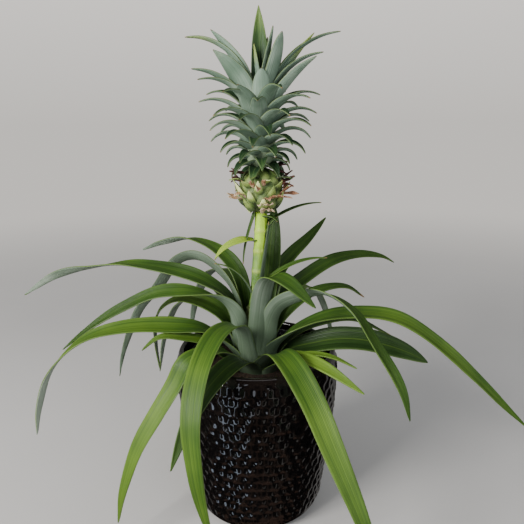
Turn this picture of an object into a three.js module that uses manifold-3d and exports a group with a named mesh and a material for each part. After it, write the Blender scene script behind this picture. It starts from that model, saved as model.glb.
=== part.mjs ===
// A potted ornamental pineapple: a rosette of arching strap leaves, a small fruit with its tuft
// on a stalk, soil in a plastic nursery pot, and a hammered ceramic pot round it all.
// Millimetres, +Z up. The origin is the centre of the ceramic pot's flat foot.
import * as THREE from 'three';
import { mergeVertices } from 'three/addons/utils/BufferGeometryUtils.js';
import Module from 'manifold-3d';

// ---- driving dimensions -------------------------------------------------------------------
const POT_HEIGHT = 145;
const FOOT_RADIUS = 48;
const BULGE_RADIUS = 70;          // the widest place, just below the lip
const LIP_RADIUS = 66.5;
const POT_WALL = 5;
const POT_FLOOR = 6;
const DIMPLES_AROUND = 21;        // hammered hollows in one row
const DIMPLE_ROWS = 22;           // rows of the lattice that the hollows sit on
const DIMPLE_DEPTH = 1.1;

const NURSERY_RADIUS = 58;        // a standard 12 cm plant pot, at its rim
const NURSERY_FOOT_RADIUS = 41;
const NURSERY_WALL = 1.6;
const NURSERY_RIM_HEIGHT = 140;
const SOIL_HEIGHT = 128;
const SOIL_BUMP = 1.2;

const STEM_BOTTOM = 118;          // sunk in the soil
const STEM_TOP = 180;
const STEM_RADIUS = 18.5;         // where it comes out of the soil
const STEM_NECK = 8.5;            // under the stalk
const STALK_RADIUS = 5;
const STALK_JOINTS = [196, 212, 229, 246];
const JOINT_SWELL = 0.9;
const FRUIT_BOTTOM = 262;
const FRUIT_TOP = 297;
const FRUIT_RADIUS = 16;
const EYES_AROUND = 7;
const EYE_ROWS = 8;
const EYE_SWELL = 2.2;
const CROWN_TOP = 359;            // top of the crown's core, its tips reach higher
const CROWN_TURN = 204;           // azimuth of the lowest crown leaf, degrees
const CROWN_LEAVES = 56;
const PLANT_LEAN = 4.5;           // the fruit stands this far to the right of the pot's axis

const SEAT = 0.3;                 // gap between pieces that touch
const LEAF_THICKNESS = 1.5;
const LEAF_EDGE = 0.8;
const LEAF_STEP = 21;             // length of one facet along a leaf
const LEAF_OPENS = 48;            // a leaf is narrow at its root and full width this far along
const LEAF_ROOT_WIDTH = 8;
const LEAF_SEAT = 0.4;            // from the stem to the middle of a leaf's root

// The rosette, from the front round to the right, the back and the left. azimuth is where a leaf
// grows from the stem, in degrees from +X towards +Y, and it has moved by swing at the tip. root is
// the height where it leaves the stem, and line holds [reach from the axis, height] along its rib.
// The blade leans about its rib by tilt soon after the root, and by tilt + twist at the tip.
const LEAVES = [
  { name: 'front_inner', azimuth: -84, swing: 40, root: 158, width: 19, tilt: 0, twist: 20,
    line: [[19, 178], [21, 196], [27, 206], [44, 206], [62, 196]] },
  { name: 'front_right', azimuth: -70, swing: 10, root: 137, width: 22, tilt: 14, twist: 0,
    line: [[48, 156], [68, 154], [97, 138], [120, 113], [143, 85], [160, 58], [172, 36]] },
  { name: 'front_right_short', azimuth: -54, swing: 6, root: 131, width: 15, tilt: 22, twist: 0,
    line: [[44, 149], [66, 153], [90, 150], [116, 142]] },
  { name: 'right_small', azimuth: -33, swing: 2, root: 133, width: 8, tilt: 10, twist: 0,
    line: [[45, 146], [70, 150], [92, 144]] },
  { name: 'right_inner', azimuth: -22, swing: -10, root: 158, width: 14, tilt: -30, twist: 60,
    line: [[22, 184], [38, 194], [60, 199], [84, 189], [109, 160], [129, 132], [136, 112]] },
  { name: 'right_low', azimuth: -12, swing: -4, root: 137, width: 21, tilt: 30, twist: 4,
    line: [[28, 143], [48, 151], [70, 157], [92, 158], [124, 152], [142, 145]] },
  { name: 'right_long', azimuth: -10, swing: 2, root: 149, width: 19, tilt: 14, twist: 40,
    line: [[33, 162], [55, 173], [82, 178], [120, 174], [162, 145], [205, 104], [228, 82]] },
  { name: 'right_back_low', azimuth: 20, swing: 0, root: 140, width: 13, tilt: 20, twist: 0,
    line: [[40, 154], [62, 159], [94, 157], [136, 134]] },
  { name: 'right_back_short', azimuth: 24, swing: 2, root: 156, width: 12, tilt: 24, twist: 8,
    line: [[32, 174], [60, 187], [90, 186], [112, 172]] },
  { name: 'right_back_long', azimuth: 38, swing: 0, root: 163, width: 13, tilt: 30, twist: 20,
    line: [[26, 183], [46, 193], [90, 207], [125, 207], [160, 200], [180, 190]] },
  { name: 'back_right_upright', azimuth: 40, swing: 10, root: 168, width: 14, tilt: 24, twist: 20,
    line: [[24, 204], [40, 216], [70, 229], [104, 243]] },
  { name: 'back_right_tall', azimuth: 84, swing: -18, root: 172, width: 18, tilt: 10, twist: 16,
    line: [[17, 192], [23, 212], [29, 236], [36, 262]] },
  { name: 'back_right_low', azimuth: 62, swing: -4, root: 146, width: 14, tilt: 10, twist: 0,
    line: [[40, 166], [80, 176], [122, 160], [150, 118], [160, 84]] },
  { name: 'back_right', azimuth: 88, swing: -4, root: 154, width: 15, tilt: 0, twist: -8,
    line: [[34, 172], [72, 184], [118, 174], [160, 132], [178, 84]] },
  { name: 'back_low', azimuth: 100, swing: 5, root: 138, width: 17, tilt: 0, twist: 6,
    line: [[42, 154], [80, 160], [122, 138], [142, 92], [148, 58]] },
  { name: 'back_left', azimuth: 114, swing: 4, root: 158, width: 15, tilt: 0, twist: 8,
    line: [[30, 180], [68, 194], [112, 182], [150, 140], [166, 94]] },
  { name: 'back_left_low', azimuth: 130, swing: 4, root: 142, width: 15, tilt: -10, twist: -6,
    line: [[40, 160], [82, 170], [122, 150], [146, 106], [154, 70]] },
  { name: 'back_left_upper', azimuth: 134, swing: 6, root: 173, width: 13, tilt: -30, twist: 40,
    line: [[22, 206], [45, 222], [80, 228], [124, 219], [150, 209]] },
  { name: 'left_drooping', azimuth: 142, swing: 6, root: 168, width: 13, tilt: -20, twist: 30,
    line: [[24, 192], [44, 208], [68, 215], [90, 208], [112, 182], [142, 150], [166, 101], [172, 74]] },
  { name: 'left_back_short', azimuth: 158, swing: -6, root: 155, width: 11, tilt: -20, twist: 0,
    line: [[24, 176], [38, 190], [54, 202]] },
  { name: 'left_long', azimuth: 172, swing: -11, root: 164, width: 17, tilt: -30, twist: 50,
    line: [[22, 186], [44, 201], [76, 209], [120, 211], [160, 204], [200, 193], [244, 168]] },
  { name: 'left_upper_arch', azimuth: 176, swing: -4, root: 145, width: 13, tilt: -20, twist: 30,
    line: [[30, 170], [50, 182], [70, 185], [86, 172], [90, 146], [88, 118]] },
  { name: 'left_thin', azimuth: 191, swing: -8, root: 157, width: 11, tilt: -10, twist: 0,
    line: [[22, 182], [42, 194], [78, 197], [110, 185], [146, 162], [165, 146]] },
  { name: 'left_bright', azimuth: 194, swing: -4, root: 143, width: 16, tilt: -30, twist: 50,
    line: [[44, 163], [70, 169], [112, 171], [144, 162], [168, 140], [182, 107], [187, 80]] },
  { name: 'left_short', azimuth: 196, swing: 4, root: 131, width: 9, tilt: -10, twist: 0,
    line: [[44, 154], [64, 161], [84, 165], [98, 155]] },
  { name: 'left_front', azimuth: 217, swing: -7, root: 137, width: 17, tilt: -6, twist: 10,
    line: [[42, 156], [60, 158], [72, 153], [80, 134], [96, 112], [113, 84], [125, 50], [130, 20]] },
  { name: 'front_left', azimuth: 235, swing: 20, root: 147, width: 20, tilt: 0, twist: -8,
    line: [[25, 168], [44, 176], [66, 176], [96, 160], [116, 134], [123, 100], [122, 66], [118, 38]] },
  { name: 'front_left_low', azimuth: 256, swing: -15, root: 132, width: 18, tilt: -20, twist: -14,
    line: [[40, 147], [64, 152], [92, 145], [110, 127], [124, 96]] },
];

// ---- finishes -----------------------------------------------------------------------------
const CERAMIC = { color: 0x0b0b0c, roughness: 0.16, metalness: 0 };
const PLASTIC = { color: 0x17171a, roughness: 0.55, metalness: 0 };
const SOIL = { color: 0x2b1d14, roughness: 0.95, metalness: 0 };
const LEAF_GREEN = { color: 0x4e7a34, roughness: 0.5, metalness: 0 };
const STALK_GREEN = { color: 0x86a63c, roughness: 0.5, metalness: 0 };
const FRUIT_GREEN = { color: 0x8a9a58, roughness: 0.6, metalness: 0 };
const CROWN_GREEN = { color: 0x5d7d62, roughness: 0.6, metalness: 0 };

// ---- helpers ------------------------------------------------------------------------------
const { degToRad, lerp, clamp, smoothstep } = THREE.MathUtils;
const wasm = await Module();
wasm.setup();

const plant = new THREE.Group();
plant.name = 'potted_pineapple';

function add(name, geometry, finish) {
  const mesh = new THREE.Mesh(geometry, new THREE.MeshStandardMaterial(finish));
  mesh.name = name;
  plant.add(mesh);
}

// A repeatable draw between -1 and 1 for the n-th copy of a small part.
function draw(n, salt) {
  const wave = Math.sin(n * 12.9898 + salt * 78.233) * 43758.5453;
  return 2 * (wave - Math.floor(wave)) - 1;
}

// How far the fruit's stalk has leant to the right at a height.
function leanAt(height) {
  return PLANT_LEAN * smoothstep(height, STEM_TOP, FRUIT_BOTTOM);
}

function lean(geometry) {
  const position = geometry.getAttribute('position');
  for (let i = 0; i < position.count; i++) {
    position.setX(i, position.getX(i) + leanAt(position.getZ(i)));
  }
  return geometry;
}

function indexedGeometry(vertices, faces) {
  const geometry = new THREE.BufferGeometry();
  geometry.setAttribute('position', new THREE.Float32BufferAttribute(vertices, 3));
  geometry.setIndex(faces);
  return geometry;
}

// A solid of revolution about Z whose profile starts and ends on the axis or closes on itself.
function turned(profile, sides) {
  const outline = profile.map(([radius, height]) => new THREE.Vector2(radius, height));
  const geometry = new THREE.LatheGeometry(outline, sides);
  geometry.rotateX(Math.PI / 2);
  return geometry;
}

// A closed skin of rings round the Z axis, from the bottom of the outside to the last ring, with a
// middle point at each end. ring.shift turns a ring by half a step, so that the points of shifted
// and plain rings together make a lattice of even triangles.
function ringedSolid(rings, sides, startHeight, endHeight) {
  const vertices = [0, 0, startHeight];
  const faces = [];
  rings.forEach((ring, row) => {
    for (let i = 0; i < sides; i++) {
      const angle = 2 * Math.PI * (i + (ring.shift ? 0.5 : 0)) / sides;
      const radius = ring.radius + (ring.relief ? ring.relief(i) : 0);
      const height = ring.height + (ring.bump ? ring.bump(angle) : 0);
      vertices.push(radius * Math.cos(angle), radius * Math.sin(angle), height);
      const next = (i + 1) % sides;
      const here = 1 + row * sides;
      const above = here + sides;
      if (row === 0) faces.push(0, here + next, here + i);
      if (row === rings.length - 1) {
        faces.push(here + i, here + next, above);
      } else if (ring.shift && !rings[row + 1].shift) {
        faces.push(here + i, above + next, above + i, here + i, here + next, above + next);
      } else {
        faces.push(here + i, here + next, above + i, above + i, here + next, above + next);
      }
    }
  });
  vertices.push(0, 0, endHeight);
  return indexedGeometry(vertices, faces);
}

// True for the lattice points that are the middle of a six-sided cell.
function isCellMiddle(i, row) {
  return (i - Math.floor(row / 2) + 2 * row) % 3 === 0;
}

// Where the points of a blade's ring lie across it: [side, height] of the upper face from left to
// right, then of the lower face back. With no edge thickness the faces meet at the edges.
function bladeSection(halfWidth, thickness, edge, channel) {
  const half = thickness / 2;
  if (edge === 0) return [[-halfWidth, channel], [0, half], [halfWidth, channel], [0, -half]];
  const rim = edge / 2;
  return [[-halfWidth, channel + rim], [0, half], [halfWidth, channel + rim],
    [halfWidth, channel - rim], [0, -half], [-halfWidth, channel - rim]];
}

const ROOT_CAPS = { 4: [0, 3, 1, 1, 3, 2], 6: [0, 5, 4, 0, 4, 1, 1, 4, 3, 1, 3, 2] };

// A closed thin blade along a curve that ends in a point. azimuthAt(t) is the direction that the
// blade grows in, halfWidthAt(t) its half width, and rollAt(t) how far it turns about its rib.
function blade(curve, shape) {
  const { steps, azimuthAt, halfWidthAt, thickness, edge, channel, rollAt } = shape;
  const points = curve.getSpacedPoints(steps);
  const vertices = [];
  const faces = [];
  let size = 0;
  for (let step = 0; step < steps; step++) {
    const t = step / steps;
    const along = curve.getTangentAt(t);
    const azimuth = azimuthAt(t);
    const side = new THREE.Vector3(Math.sin(azimuth), -Math.cos(azimuth), 0);
    side.addScaledVector(along, -side.dot(along)).normalize();
    side.applyAxisAngle(along, degToRad(rollAt(t)));
    const up = new THREE.Vector3().crossVectors(side, along);
    const halfWidth = halfWidthAt(t);
    const section = bladeSection(halfWidth, thickness, edge, channel * halfWidth * (1 - 0.6 * t));
    size = section.length;
    for (const [x, y] of section) {
      const point = points[step].clone().addScaledVector(side, x).addScaledVector(up, y);
      vertices.push(point.x, point.y, point.z);
    }
    const here = step * size;
    for (let k = 0; k < size; k++) {
      const a = here + k;
      const b = here + (k + 1) % size;
      if (step === steps - 1) faces.push(a, b, steps * size);
      else if (k < size / 2) faces.push(a, b, b + size, a, b + size, a + size);
      else faces.push(a, b, a + size, b, b + size, a + size);
    }
  }
  const tip = points[steps];
  vertices.push(tip.x, tip.y, tip.z);
  return indexedGeometry(vertices, [...ROOT_CAPS[size], ...faces]);
}

// A short blade that starts at a point and bends from one slope to another, in degrees up.
function archedBlade(start, azimuth, arch) {
  const points = [start];
  const step = arch.length / arch.steps;
  for (let i = 0; i < arch.steps; i++) {
    const slope = degToRad(lerp(arch.launch, arch.droop, Math.pow((i + 0.5) / arch.steps, 1.3)));
    const run = step * Math.cos(slope);
    const rise = step * Math.sin(slope);
    const next = new THREE.Vector3(run * Math.cos(azimuth), run * Math.sin(azimuth), rise);
    points.push(points[i].clone().add(next));
  }
  const halfWidthAt = (t) => arch.width / 2 * Math.pow(1 - Math.pow(t, arch.taper), 0.9);
  return blade(new THREE.CatmullRomCurve3(points), {
    steps: arch.steps, azimuthAt: () => azimuth, halfWidthAt, thickness: arch.thickness, edge: 0,
    channel: arch.channel, rollAt: () => 0,
  });
}

function toSolid(geometry) {
  const bare = geometry.clone();
  bare.deleteAttribute('normal');
  bare.deleteAttribute('uv');
  const merged = mergeVertices(bare);
  const vertProperties = merged.getAttribute('position').array;
  const triVerts = Uint32Array.from(merged.getIndex().array);
  return new wasm.Manifold(new wasm.Mesh({ numProp: 3, vertProperties, triVerts }));
}

// One closed body out of a core and the small parts that are rooted in it.
function fused(core, parts) {
  let solid = toSolid(core);
  for (const part of parts) solid = solid.add(toSolid(part));
  const mesh = solid.getMesh();
  return indexedGeometry(mesh.vertProperties, Array.from(mesh.triVerts));
}

// ---- ceramic pot --------------------------------------------------------------------------
// The outside, foot to lip: a rounded foot, walls that open out, and a shoulder under the lip.
function potRadiusAt(height) {
  const foot = 8 * (1 - Math.sqrt(clamp(height / 12, 0, 1)));
  const wall = lerp(51, BULGE_RADIUS, smoothstep(height, -60, POT_HEIGHT - 12));
  const shoulder = (BULGE_RADIUS - LIP_RADIUS) * smoothstep(height, POT_HEIGHT - 12, POT_HEIGHT);
  return wall - foot - shoulder;
}

function ceramicPot() {
  const sides = DIMPLES_AROUND * 3;
  const rings = [];
  for (let row = 0; row <= DIMPLE_ROWS; row++) {
    const height = (POT_HEIGHT - 2.5) * row / DIMPLE_ROWS;
    const hammered = row > 1 && row < DIMPLE_ROWS - 1;
    const relief = (i) => (hammered && isCellMiddle(i, row) ? -DIMPLE_DEPTH : 0);
    const radius = row === 0 ? FOOT_RADIUS : potRadiusAt(height);
    rings.push({ radius, height, shift: row % 2 === 1, relief });
  }
  const inner = LIP_RADIUS - POT_WALL;
  rings.push({ radius: LIP_RADIUS - 0.6, height: POT_HEIGHT - 0.6 });
  rings.push({ radius: LIP_RADIUS - 1.6, height: POT_HEIGHT });
  rings.push({ radius: inner + 0.8, height: POT_HEIGHT - 0.4 });
  rings.push({ radius: inner, height: POT_HEIGHT - 1.6 });
  rings.push({ radius: potRadiusAt(70) - POT_WALL, height: 70 });
  rings.push({ radius: FOOT_RADIUS - 2, height: POT_FLOOR });
  return ringedSolid(rings, sides, 0, POT_FLOOR);
}

add('cachepot', ceramicPot(), CERAMIC);

// ---- nursery pot and soil -----------------------------------------------------------------
const NURSERY_BOTTOM = POT_FLOOR + SEAT;

// Inside radius of the nursery pot at a height.
function nurseryBoreAt(height) {
  const t = (height - NURSERY_BOTTOM) / (NURSERY_RIM_HEIGHT - NURSERY_BOTTOM);
  return lerp(NURSERY_FOOT_RADIUS, NURSERY_RADIUS - 2.5, t) - NURSERY_WALL;
}

function nurseryPot() {
  const body = nurseryBoreAt(NURSERY_RIM_HEIGHT - 9) + NURSERY_WALL;
  return turned([
    [0, NURSERY_BOTTOM],
    [NURSERY_FOOT_RADIUS, NURSERY_BOTTOM],
    [body, NURSERY_RIM_HEIGHT - 9],
    [NURSERY_RADIUS, NURSERY_RIM_HEIGHT - 9],
    [NURSERY_RADIUS, NURSERY_RIM_HEIGHT],
    [NURSERY_RADIUS - NURSERY_WALL, NURSERY_RIM_HEIGHT],
    [nurseryBoreAt(NURSERY_RIM_HEIGHT - 9), NURSERY_RIM_HEIGHT - 10],
    [nurseryBoreAt(NURSERY_BOTTOM + 2), NURSERY_BOTTOM + 2],
    [0, NURSERY_BOTTOM + 2],
  ], 32);
}

add('nursery_pot', nurseryPot(), PLASTIC);

// Radius of the short stem that the leaves grow on: broad in the soil, narrow under the stalk.
function stemRadiusAt(height) {
  return lerp(STEM_RADIUS, STEM_NECK, clamp((height - SOIL_HEIGHT) / (STEM_TOP - SOIL_HEIGHT), 0, 1));
}

function pottingSoil() {
  const sides = 30;
  const bottom = NURSERY_BOTTOM + 2 + SEAT;
  const hole = stemRadiusAt(SOIL_HEIGHT) + SEAT + 0.3;
  const lumps = (angle) => SOIL_BUMP * (Math.sin(5 * angle) + Math.cos(9 * angle + 1)) / 2;
  const crumbs = (angle) => SOIL_BUMP * (Math.cos(7 * angle) + Math.sin(11 * angle + 2)) / 2;
  return ringedSolid([
    { radius: nurseryBoreAt(bottom) - SEAT, height: bottom },
    { radius: nurseryBoreAt(SOIL_HEIGHT - 2) - SEAT, height: SOIL_HEIGHT - 2 },
    { radius: nurseryBoreAt(SOIL_HEIGHT) - 5, height: SOIL_HEIGHT, bump: lumps },
    { radius: 40, height: SOIL_HEIGHT + 1, bump: crumbs },
    { radius: 31, height: SOIL_HEIGHT + 0.5, bump: lumps },
    { radius: hole, height: SOIL_HEIGHT },
    { radius: hole, height: STEM_BOTTOM - SEAT },
  ], sides, bottom, STEM_BOTTOM - SEAT);
}

add('potting_soil', pottingSoil(), SOIL);

// ---- stem and leaves ----------------------------------------------------------------------
add('stem', turned([
  [0, STEM_BOTTOM],
  [stemRadiusAt(STEM_BOTTOM), STEM_BOTTOM],
  [stemRadiusAt(SOIL_HEIGHT), SOIL_HEIGHT],
  [stemRadiusAt(STEM_TOP), STEM_TOP],
  [0, STEM_TOP],
], 20), LEAF_GREEN);

// Strap leaf: narrow where it leaves the stem, full width soon after, then a long taper.
function leafHalfWidth(t, width, length) {
  const rootWidth = Math.min(0.6 * width, LEAF_ROOT_WIDTH);
  const opened = lerp(rootWidth, width, smoothstep(t * length, 4, LEAF_OPENS));
  return opened / 2 * Math.pow(1 - Math.pow(t, 2.6), 0.85);
}

function strapLeaf({ azimuth, swing, root, width, tilt, twist, line }) {
  const [reach, height] = line[0];
  const slope = Math.atan2(height - root, reach - stemRadiusAt(root));
  const reachAtRoot = stemRadiusAt(root) + LEAF_SEAT + LEAF_THICKNESS / 2 * Math.sin(slope);
  const knots = [[reachAtRoot, root], ...line];
  const curve = new THREE.CatmullRomCurve3(knots.map(([out, up], i) => {
    const turn = degToRad(azimuth + swing * i / (knots.length - 1));
    return new THREE.Vector3(out * Math.cos(turn), out * Math.sin(turn), up);
  }));
  const length = curve.getLength();
  return blade(curve, {
    steps: Math.max(4, Math.round(length / LEAF_STEP)),
    azimuthAt: (t) => degToRad(azimuth + swing * t),
    halfWidthAt: (t) => leafHalfWidth(t, width, length),
    rollAt: (t) => tilt * smoothstep(t, 0.05, 0.3) + twist * t,
    thickness: LEAF_THICKNESS,
    edge: LEAF_EDGE,
    channel: 0.35,
  });
}

for (const leaf of LEAVES) add(`leaf_${leaf.name}`, strapLeaf(leaf), LEAF_GREEN);

// ---- fruit stalk with its bracts ----------------------------------------------------------
const STALK_BRACTS = [
  { height: 192, azimuth: 196, launch: 66, droop: 8, length: 46, width: 6 },
  { height: 206, azimuth: 12, launch: 50, droop: -12, length: 52, width: 7 },
  { height: 247, azimuth: 20, launch: 38, droop: -6, length: 54, width: 5 },
  { height: 214, azimuth: 95, launch: 62, droop: -30, length: 44, width: 6 },
  { height: 228, azimuth: 202, launch: 32, droop: -64, length: 45, width: 9 },
  { height: 240, azimuth: 300, launch: 70, droop: 20, length: 20, width: 6 },
  { height: 252, azimuth: 60, launch: 30, droop: -60, length: 24, width: 6 },
  { height: 256, azimuth: 190, launch: 5, droop: -75, length: 26, width: 7 },
  { height: 257, azimuth: 320, launch: 20, droop: -50, length: 18, width: 7 },
];

function stalk() {
  const outline = [[0, STEM_TOP + SEAT], [STALK_RADIUS + 1.5, STEM_TOP + SEAT]];
  for (const joint of STALK_JOINTS) {
    outline.push([STALK_RADIUS, joint - 4]);
    outline.push([STALK_RADIUS + JOINT_SWELL, joint]);
    outline.push([STALK_RADIUS, joint + 3]);
  }
  outline.push([STALK_RADIUS - 0.3, FRUIT_BOTTOM - SEAT], [0, FRUIT_BOTTOM - SEAT]);
  const bracts = STALK_BRACTS.map((bract) => {
    const azimuth = degToRad(bract.azimuth);
    const reach = STALK_RADIUS - 2;
    const start = new THREE.Vector3(reach * Math.cos(azimuth), reach * Math.sin(azimuth), bract.height);
    const section = { steps: 6, thickness: 1.2, channel: 0.25, taper: 1.6 };
    return archedBlade(start, azimuth, { ...bract, ...section });
  });
  return fused(turned(outline, 12), bracts);
}

add('fruit_stalk', lean(stalk()), STALK_GREEN);

// ---- fruit --------------------------------------------------------------------------------
const EYE_BRACT = {
  launch: 18, droop: 75, length: 9, width: 6, thickness: 1.6, channel: 0.2, taper: 1.6,
};
const DRIED_FLOWER = {
  launch: 20, droop: -25, length: 12, width: 3, thickness: 1.4, channel: 0.3, taper: 2,
};

function fruitRadiusAt(height) {
  const t = clamp((height - FRUIT_BOTTOM) / (FRUIT_TOP - FRUIT_BOTTOM), 0, 1);
  return FRUIT_RADIUS * Math.pow(1 - Math.pow(Math.abs(2 * t - 0.95) / 1.08, 3), 0.6);
}

function fruit() {
  const sides = EYES_AROUND * 3;
  const rings = [];
  const bracts = [];
  for (let row = 0; row <= EYE_ROWS; row++) {
    const height = lerp(FRUIT_BOTTOM, FRUIT_TOP, row / EYE_ROWS);
    const inside = row > 0 && row < EYE_ROWS;
    const radius = fruitRadiusAt(height);
    const relief = (i) => (inside && isCellMiddle(i, row) ? EYE_SWELL : 0);
    rings.push({ radius, height, shift: row % 2 === 1, relief });
    for (let i = 0; inside && i < sides; i++) {
      if (!isCellMiddle(i, row)) continue;
      const azimuth = 2 * Math.PI * (i + (row % 2) / 2) / sides;
      const reach = radius - 1;
      const foot = [reach * Math.cos(azimuth), reach * Math.sin(azimuth), height - 2.5];
      const arch = draw(i, row) > 0.6 ? DRIED_FLOWER : EYE_BRACT;
      bracts.push(archedBlade(new THREE.Vector3(...foot), azimuth, { ...arch, steps: 2 }));
    }
  }
  return fused(ringedSolid(rings, sides, FRUIT_BOTTOM, FRUIT_TOP), bracts);
}

add('fruit', lean(fruit()), FRUIT_GREEN);

// ---- crown --------------------------------------------------------------------------------
// Leaves wind up the core by the golden angle. Going up from the fruit (rise 0) to the middle of
// the tuft (rise 1) they leave the core at a slope of launch degrees and end at droop degrees.
const GOLDEN_ANGLE = 137.508;
const CROWN_BOTTOM = FRUIT_TOP + SEAT;
const CROWN_TIERS = [
  { rise: 0.00, launch: 0, droop: -72, length: 20 },
  { rise: 0.15, launch: 27, droop: -66, length: 30 },
  { rise: 0.35, launch: 46, droop: -58, length: 37 },
  { rise: 0.55, launch: 58, droop: -42, length: 46 },
  { rise: 0.75, launch: 62, droop: -20, length: 60 },
  { rise: 0.91, launch: 70, droop: -2, length: 76 },
  { rise: 0.96, launch: 82, droop: 50, length: 64 },
  { rise: 1.00, launch: 88, droop: 82, length: 51.5 },
];

function crownTierAt(rise, key) {
  const upper = Math.max(1, CROWN_TIERS.findIndex((tier) => tier.rise >= rise));
  const [below, above] = [CROWN_TIERS[upper - 1], CROWN_TIERS[upper]];
  return lerp(below[key], above[key], (rise - below.rise) / (above.rise - below.rise));
}

const CROWN_LOWEST_LEAF = 3;
const CROWN_CORE = [[8, 0], [11, 5], [9, 40]];
const CROWN_CORE_TIP = 4;

function crown() {
  const core = turned([
    [0, CROWN_BOTTOM],
    ...CROWN_CORE.map(([radius, up]) => [radius, CROWN_BOTTOM + up]),
    [CROWN_CORE_TIP, CROWN_TOP],
    [0, CROWN_TOP],
  ], 12);
  const leaves = [];
  for (let n = 0; n < CROWN_LEAVES; n++) {
    const rise = n / (CROWN_LEAVES - 1);
    const azimuth = degToRad(GOLDEN_ANGLE * n + CROWN_TURN);
    const height = lerp(CROWN_BOTTOM + CROWN_LOWEST_LEAF, CROWN_TOP, Math.pow(rise, 1.05));
    const reach = lerp(CROWN_CORE[0][0], 1, rise);
    const start = new THREE.Vector3(reach * Math.cos(azimuth), reach * Math.sin(azimuth), height);
    leaves.push(archedBlade(start, azimuth, {
      launch: crownTierAt(rise, 'launch') + 4 * draw(n, 1),
      droop: crownTierAt(rise, 'droop') + 8 * draw(n, 2),
      length: crownTierAt(rise, 'length') + 3 * draw(n, 3),
      width: lerp(11, 14, rise),
      steps: rise < 0.3 ? 3 : 4,
      thickness: 1.6,
      channel: 0.25,
      taper: 2.2,
    }));
  }
  return fused(core, leaves);
}

add('crown', lean(crown()), CROWN_GREEN);

export default plant;
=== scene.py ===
# %% [markdown]
# # A miniature pineapple plant in its pot
# This plant is sold as a pot plant: a rosette of strap leaves, a bare stalk, and a fruit no bigger
# than a plum under a tall crown. The exact solids of the plant are loaded first as a frame. Each
# solid is then dressed with a finer mesh and a procedural finish, or only with a finish where its
# shape is already right, and nothing changes its place.

# %% Load the frame
import bmesh
import bpy
import math
import numpy as np
from mathutils import Matrix, Vector, noise


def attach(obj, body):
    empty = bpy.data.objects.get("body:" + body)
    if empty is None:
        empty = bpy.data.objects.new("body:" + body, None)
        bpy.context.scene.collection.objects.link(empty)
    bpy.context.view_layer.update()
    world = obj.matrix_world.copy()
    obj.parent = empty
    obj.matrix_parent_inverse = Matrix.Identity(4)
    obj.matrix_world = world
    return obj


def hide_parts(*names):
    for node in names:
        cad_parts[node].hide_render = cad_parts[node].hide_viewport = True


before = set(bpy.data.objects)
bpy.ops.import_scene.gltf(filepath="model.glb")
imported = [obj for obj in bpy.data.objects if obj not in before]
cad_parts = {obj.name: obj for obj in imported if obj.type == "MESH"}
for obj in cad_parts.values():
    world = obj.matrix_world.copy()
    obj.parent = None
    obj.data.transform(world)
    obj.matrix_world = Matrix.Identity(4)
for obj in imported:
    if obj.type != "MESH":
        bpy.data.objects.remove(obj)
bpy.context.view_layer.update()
MM = 0.001

# %% [markdown]
# ## The camera
# The plant is seen from a little above and close by, as a person sees it who holds it at arm's
# length. A short distance makes the front leaves look longer than the back ones, so the place of
# the camera matters as much as its angle. The lens follows from how many picture widths away the
# plant would have to stand to fill the picture.

# %% Place the camera
PICTURE_WIDTH = 524
FOCAL_LENGTH = 560
CAMERA_PLACE = (0.005, -0.452, 0.331)
CAMERA_DOWN = 13.9
CAMERA_ROLL = 0.5

camera = bpy.data.objects.new("camera", bpy.data.cameras.new("camera"))
camera.data.sensor_width = 36
camera.data.lens = 36 * FOCAL_LENGTH / PICTURE_WIDTH
camera.data.clip_start = 0.01
look = Matrix.Rotation(math.radians(90 - CAMERA_DOWN), 3, "X")
turn = Matrix.Rotation(math.radians(-CAMERA_ROLL), 3, "Z")
camera.matrix_world = Matrix.Translation(CAMERA_PLACE) @ (look @ turn).to_4x4()
bpy.context.scene.collection.objects.link(camera)
bpy.context.scene.camera = camera
print("camera: lens", round(camera.data.lens, 1), "mm")

# %% [markdown]
# ## Small tools
# A piece is shaped in millimetres, because that is how a plant and its pot are measured, and is
# made smaller by a thousand as it becomes an object. `spline` bends a smooth line through a few
# given knots. A leaf, a bract and a dried flower are all the same kind of thing, a flat strip
# bent along such a line, so one tool makes them all.

# %% Tools for numbers and lines
def smoothstep(value, low, high):
    t = min(max((value - low) / (high - low), 0.0), 1.0)
    return t * t * (3 - 2 * t)


def lerp(a, b, t):
    return a + (b - a) * t


def draw(n, salt):
    """A repeatable draw between -1 and 1 for the n-th copy of a small part."""
    wave = math.sin(n * 12.9898 + salt * 78.233) * 43758.5453
    return 2 * (wave - math.floor(wave)) - 1


def around(angle, reach, height):
    """The point at an angle round the axis, in radians, at a reach from it and at a height."""
    return Vector((reach * math.cos(angle), reach * math.sin(angle), height))


def spline(knots, steps=16):
    """Points on a smooth line through the knots, a centripetal Catmull-Rom spline."""
    ends = [2 * knots[0] - knots[1], *knots, 2 * knots[-1] - knots[-2]]
    points = [knots[0]]
    for before, a, b, after in zip(ends, ends[1:], ends[2:], ends[3:]):
        gap_in, gap, gap_out = (math.sqrt((q - p).length) for p, q in ((before, a), (a, b), (b, after)))
        leave = (a - before) / gap_in - (b - before) / (gap_in + gap) + (b - a) / gap
        arrive = (b - a) / gap - (after - a) / (gap + gap_out) + (after - b) / gap_out
        for step in range(1, steps + 1):
            t = step / steps
            rest = t * (1 - t)
            points.append(a.lerp(b, t * t * (3 - 2 * t)) + gap * rest * ((1 - t) * leave - t * arrive))
    return points


class Line:
    """A line that gives its point and its direction at a share t of its length."""

    def __init__(self, points):
        self.points = np.array(points)
        steps = np.linalg.norm(np.diff(self.points, axis=0), axis=1)
        self.travelled = np.concatenate([[0], np.cumsum(steps)])
        self.length = float(self.travelled[-1])

    def at(self, t):
        here = t * self.length
        return Vector([np.interp(here, self.travelled, self.points[:, k]) for k in range(3)])

    def along(self, t):
        return (self.at(min(t + 0.015, 1)) - self.at(max(t - 0.015, 0))).normalized()


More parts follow.
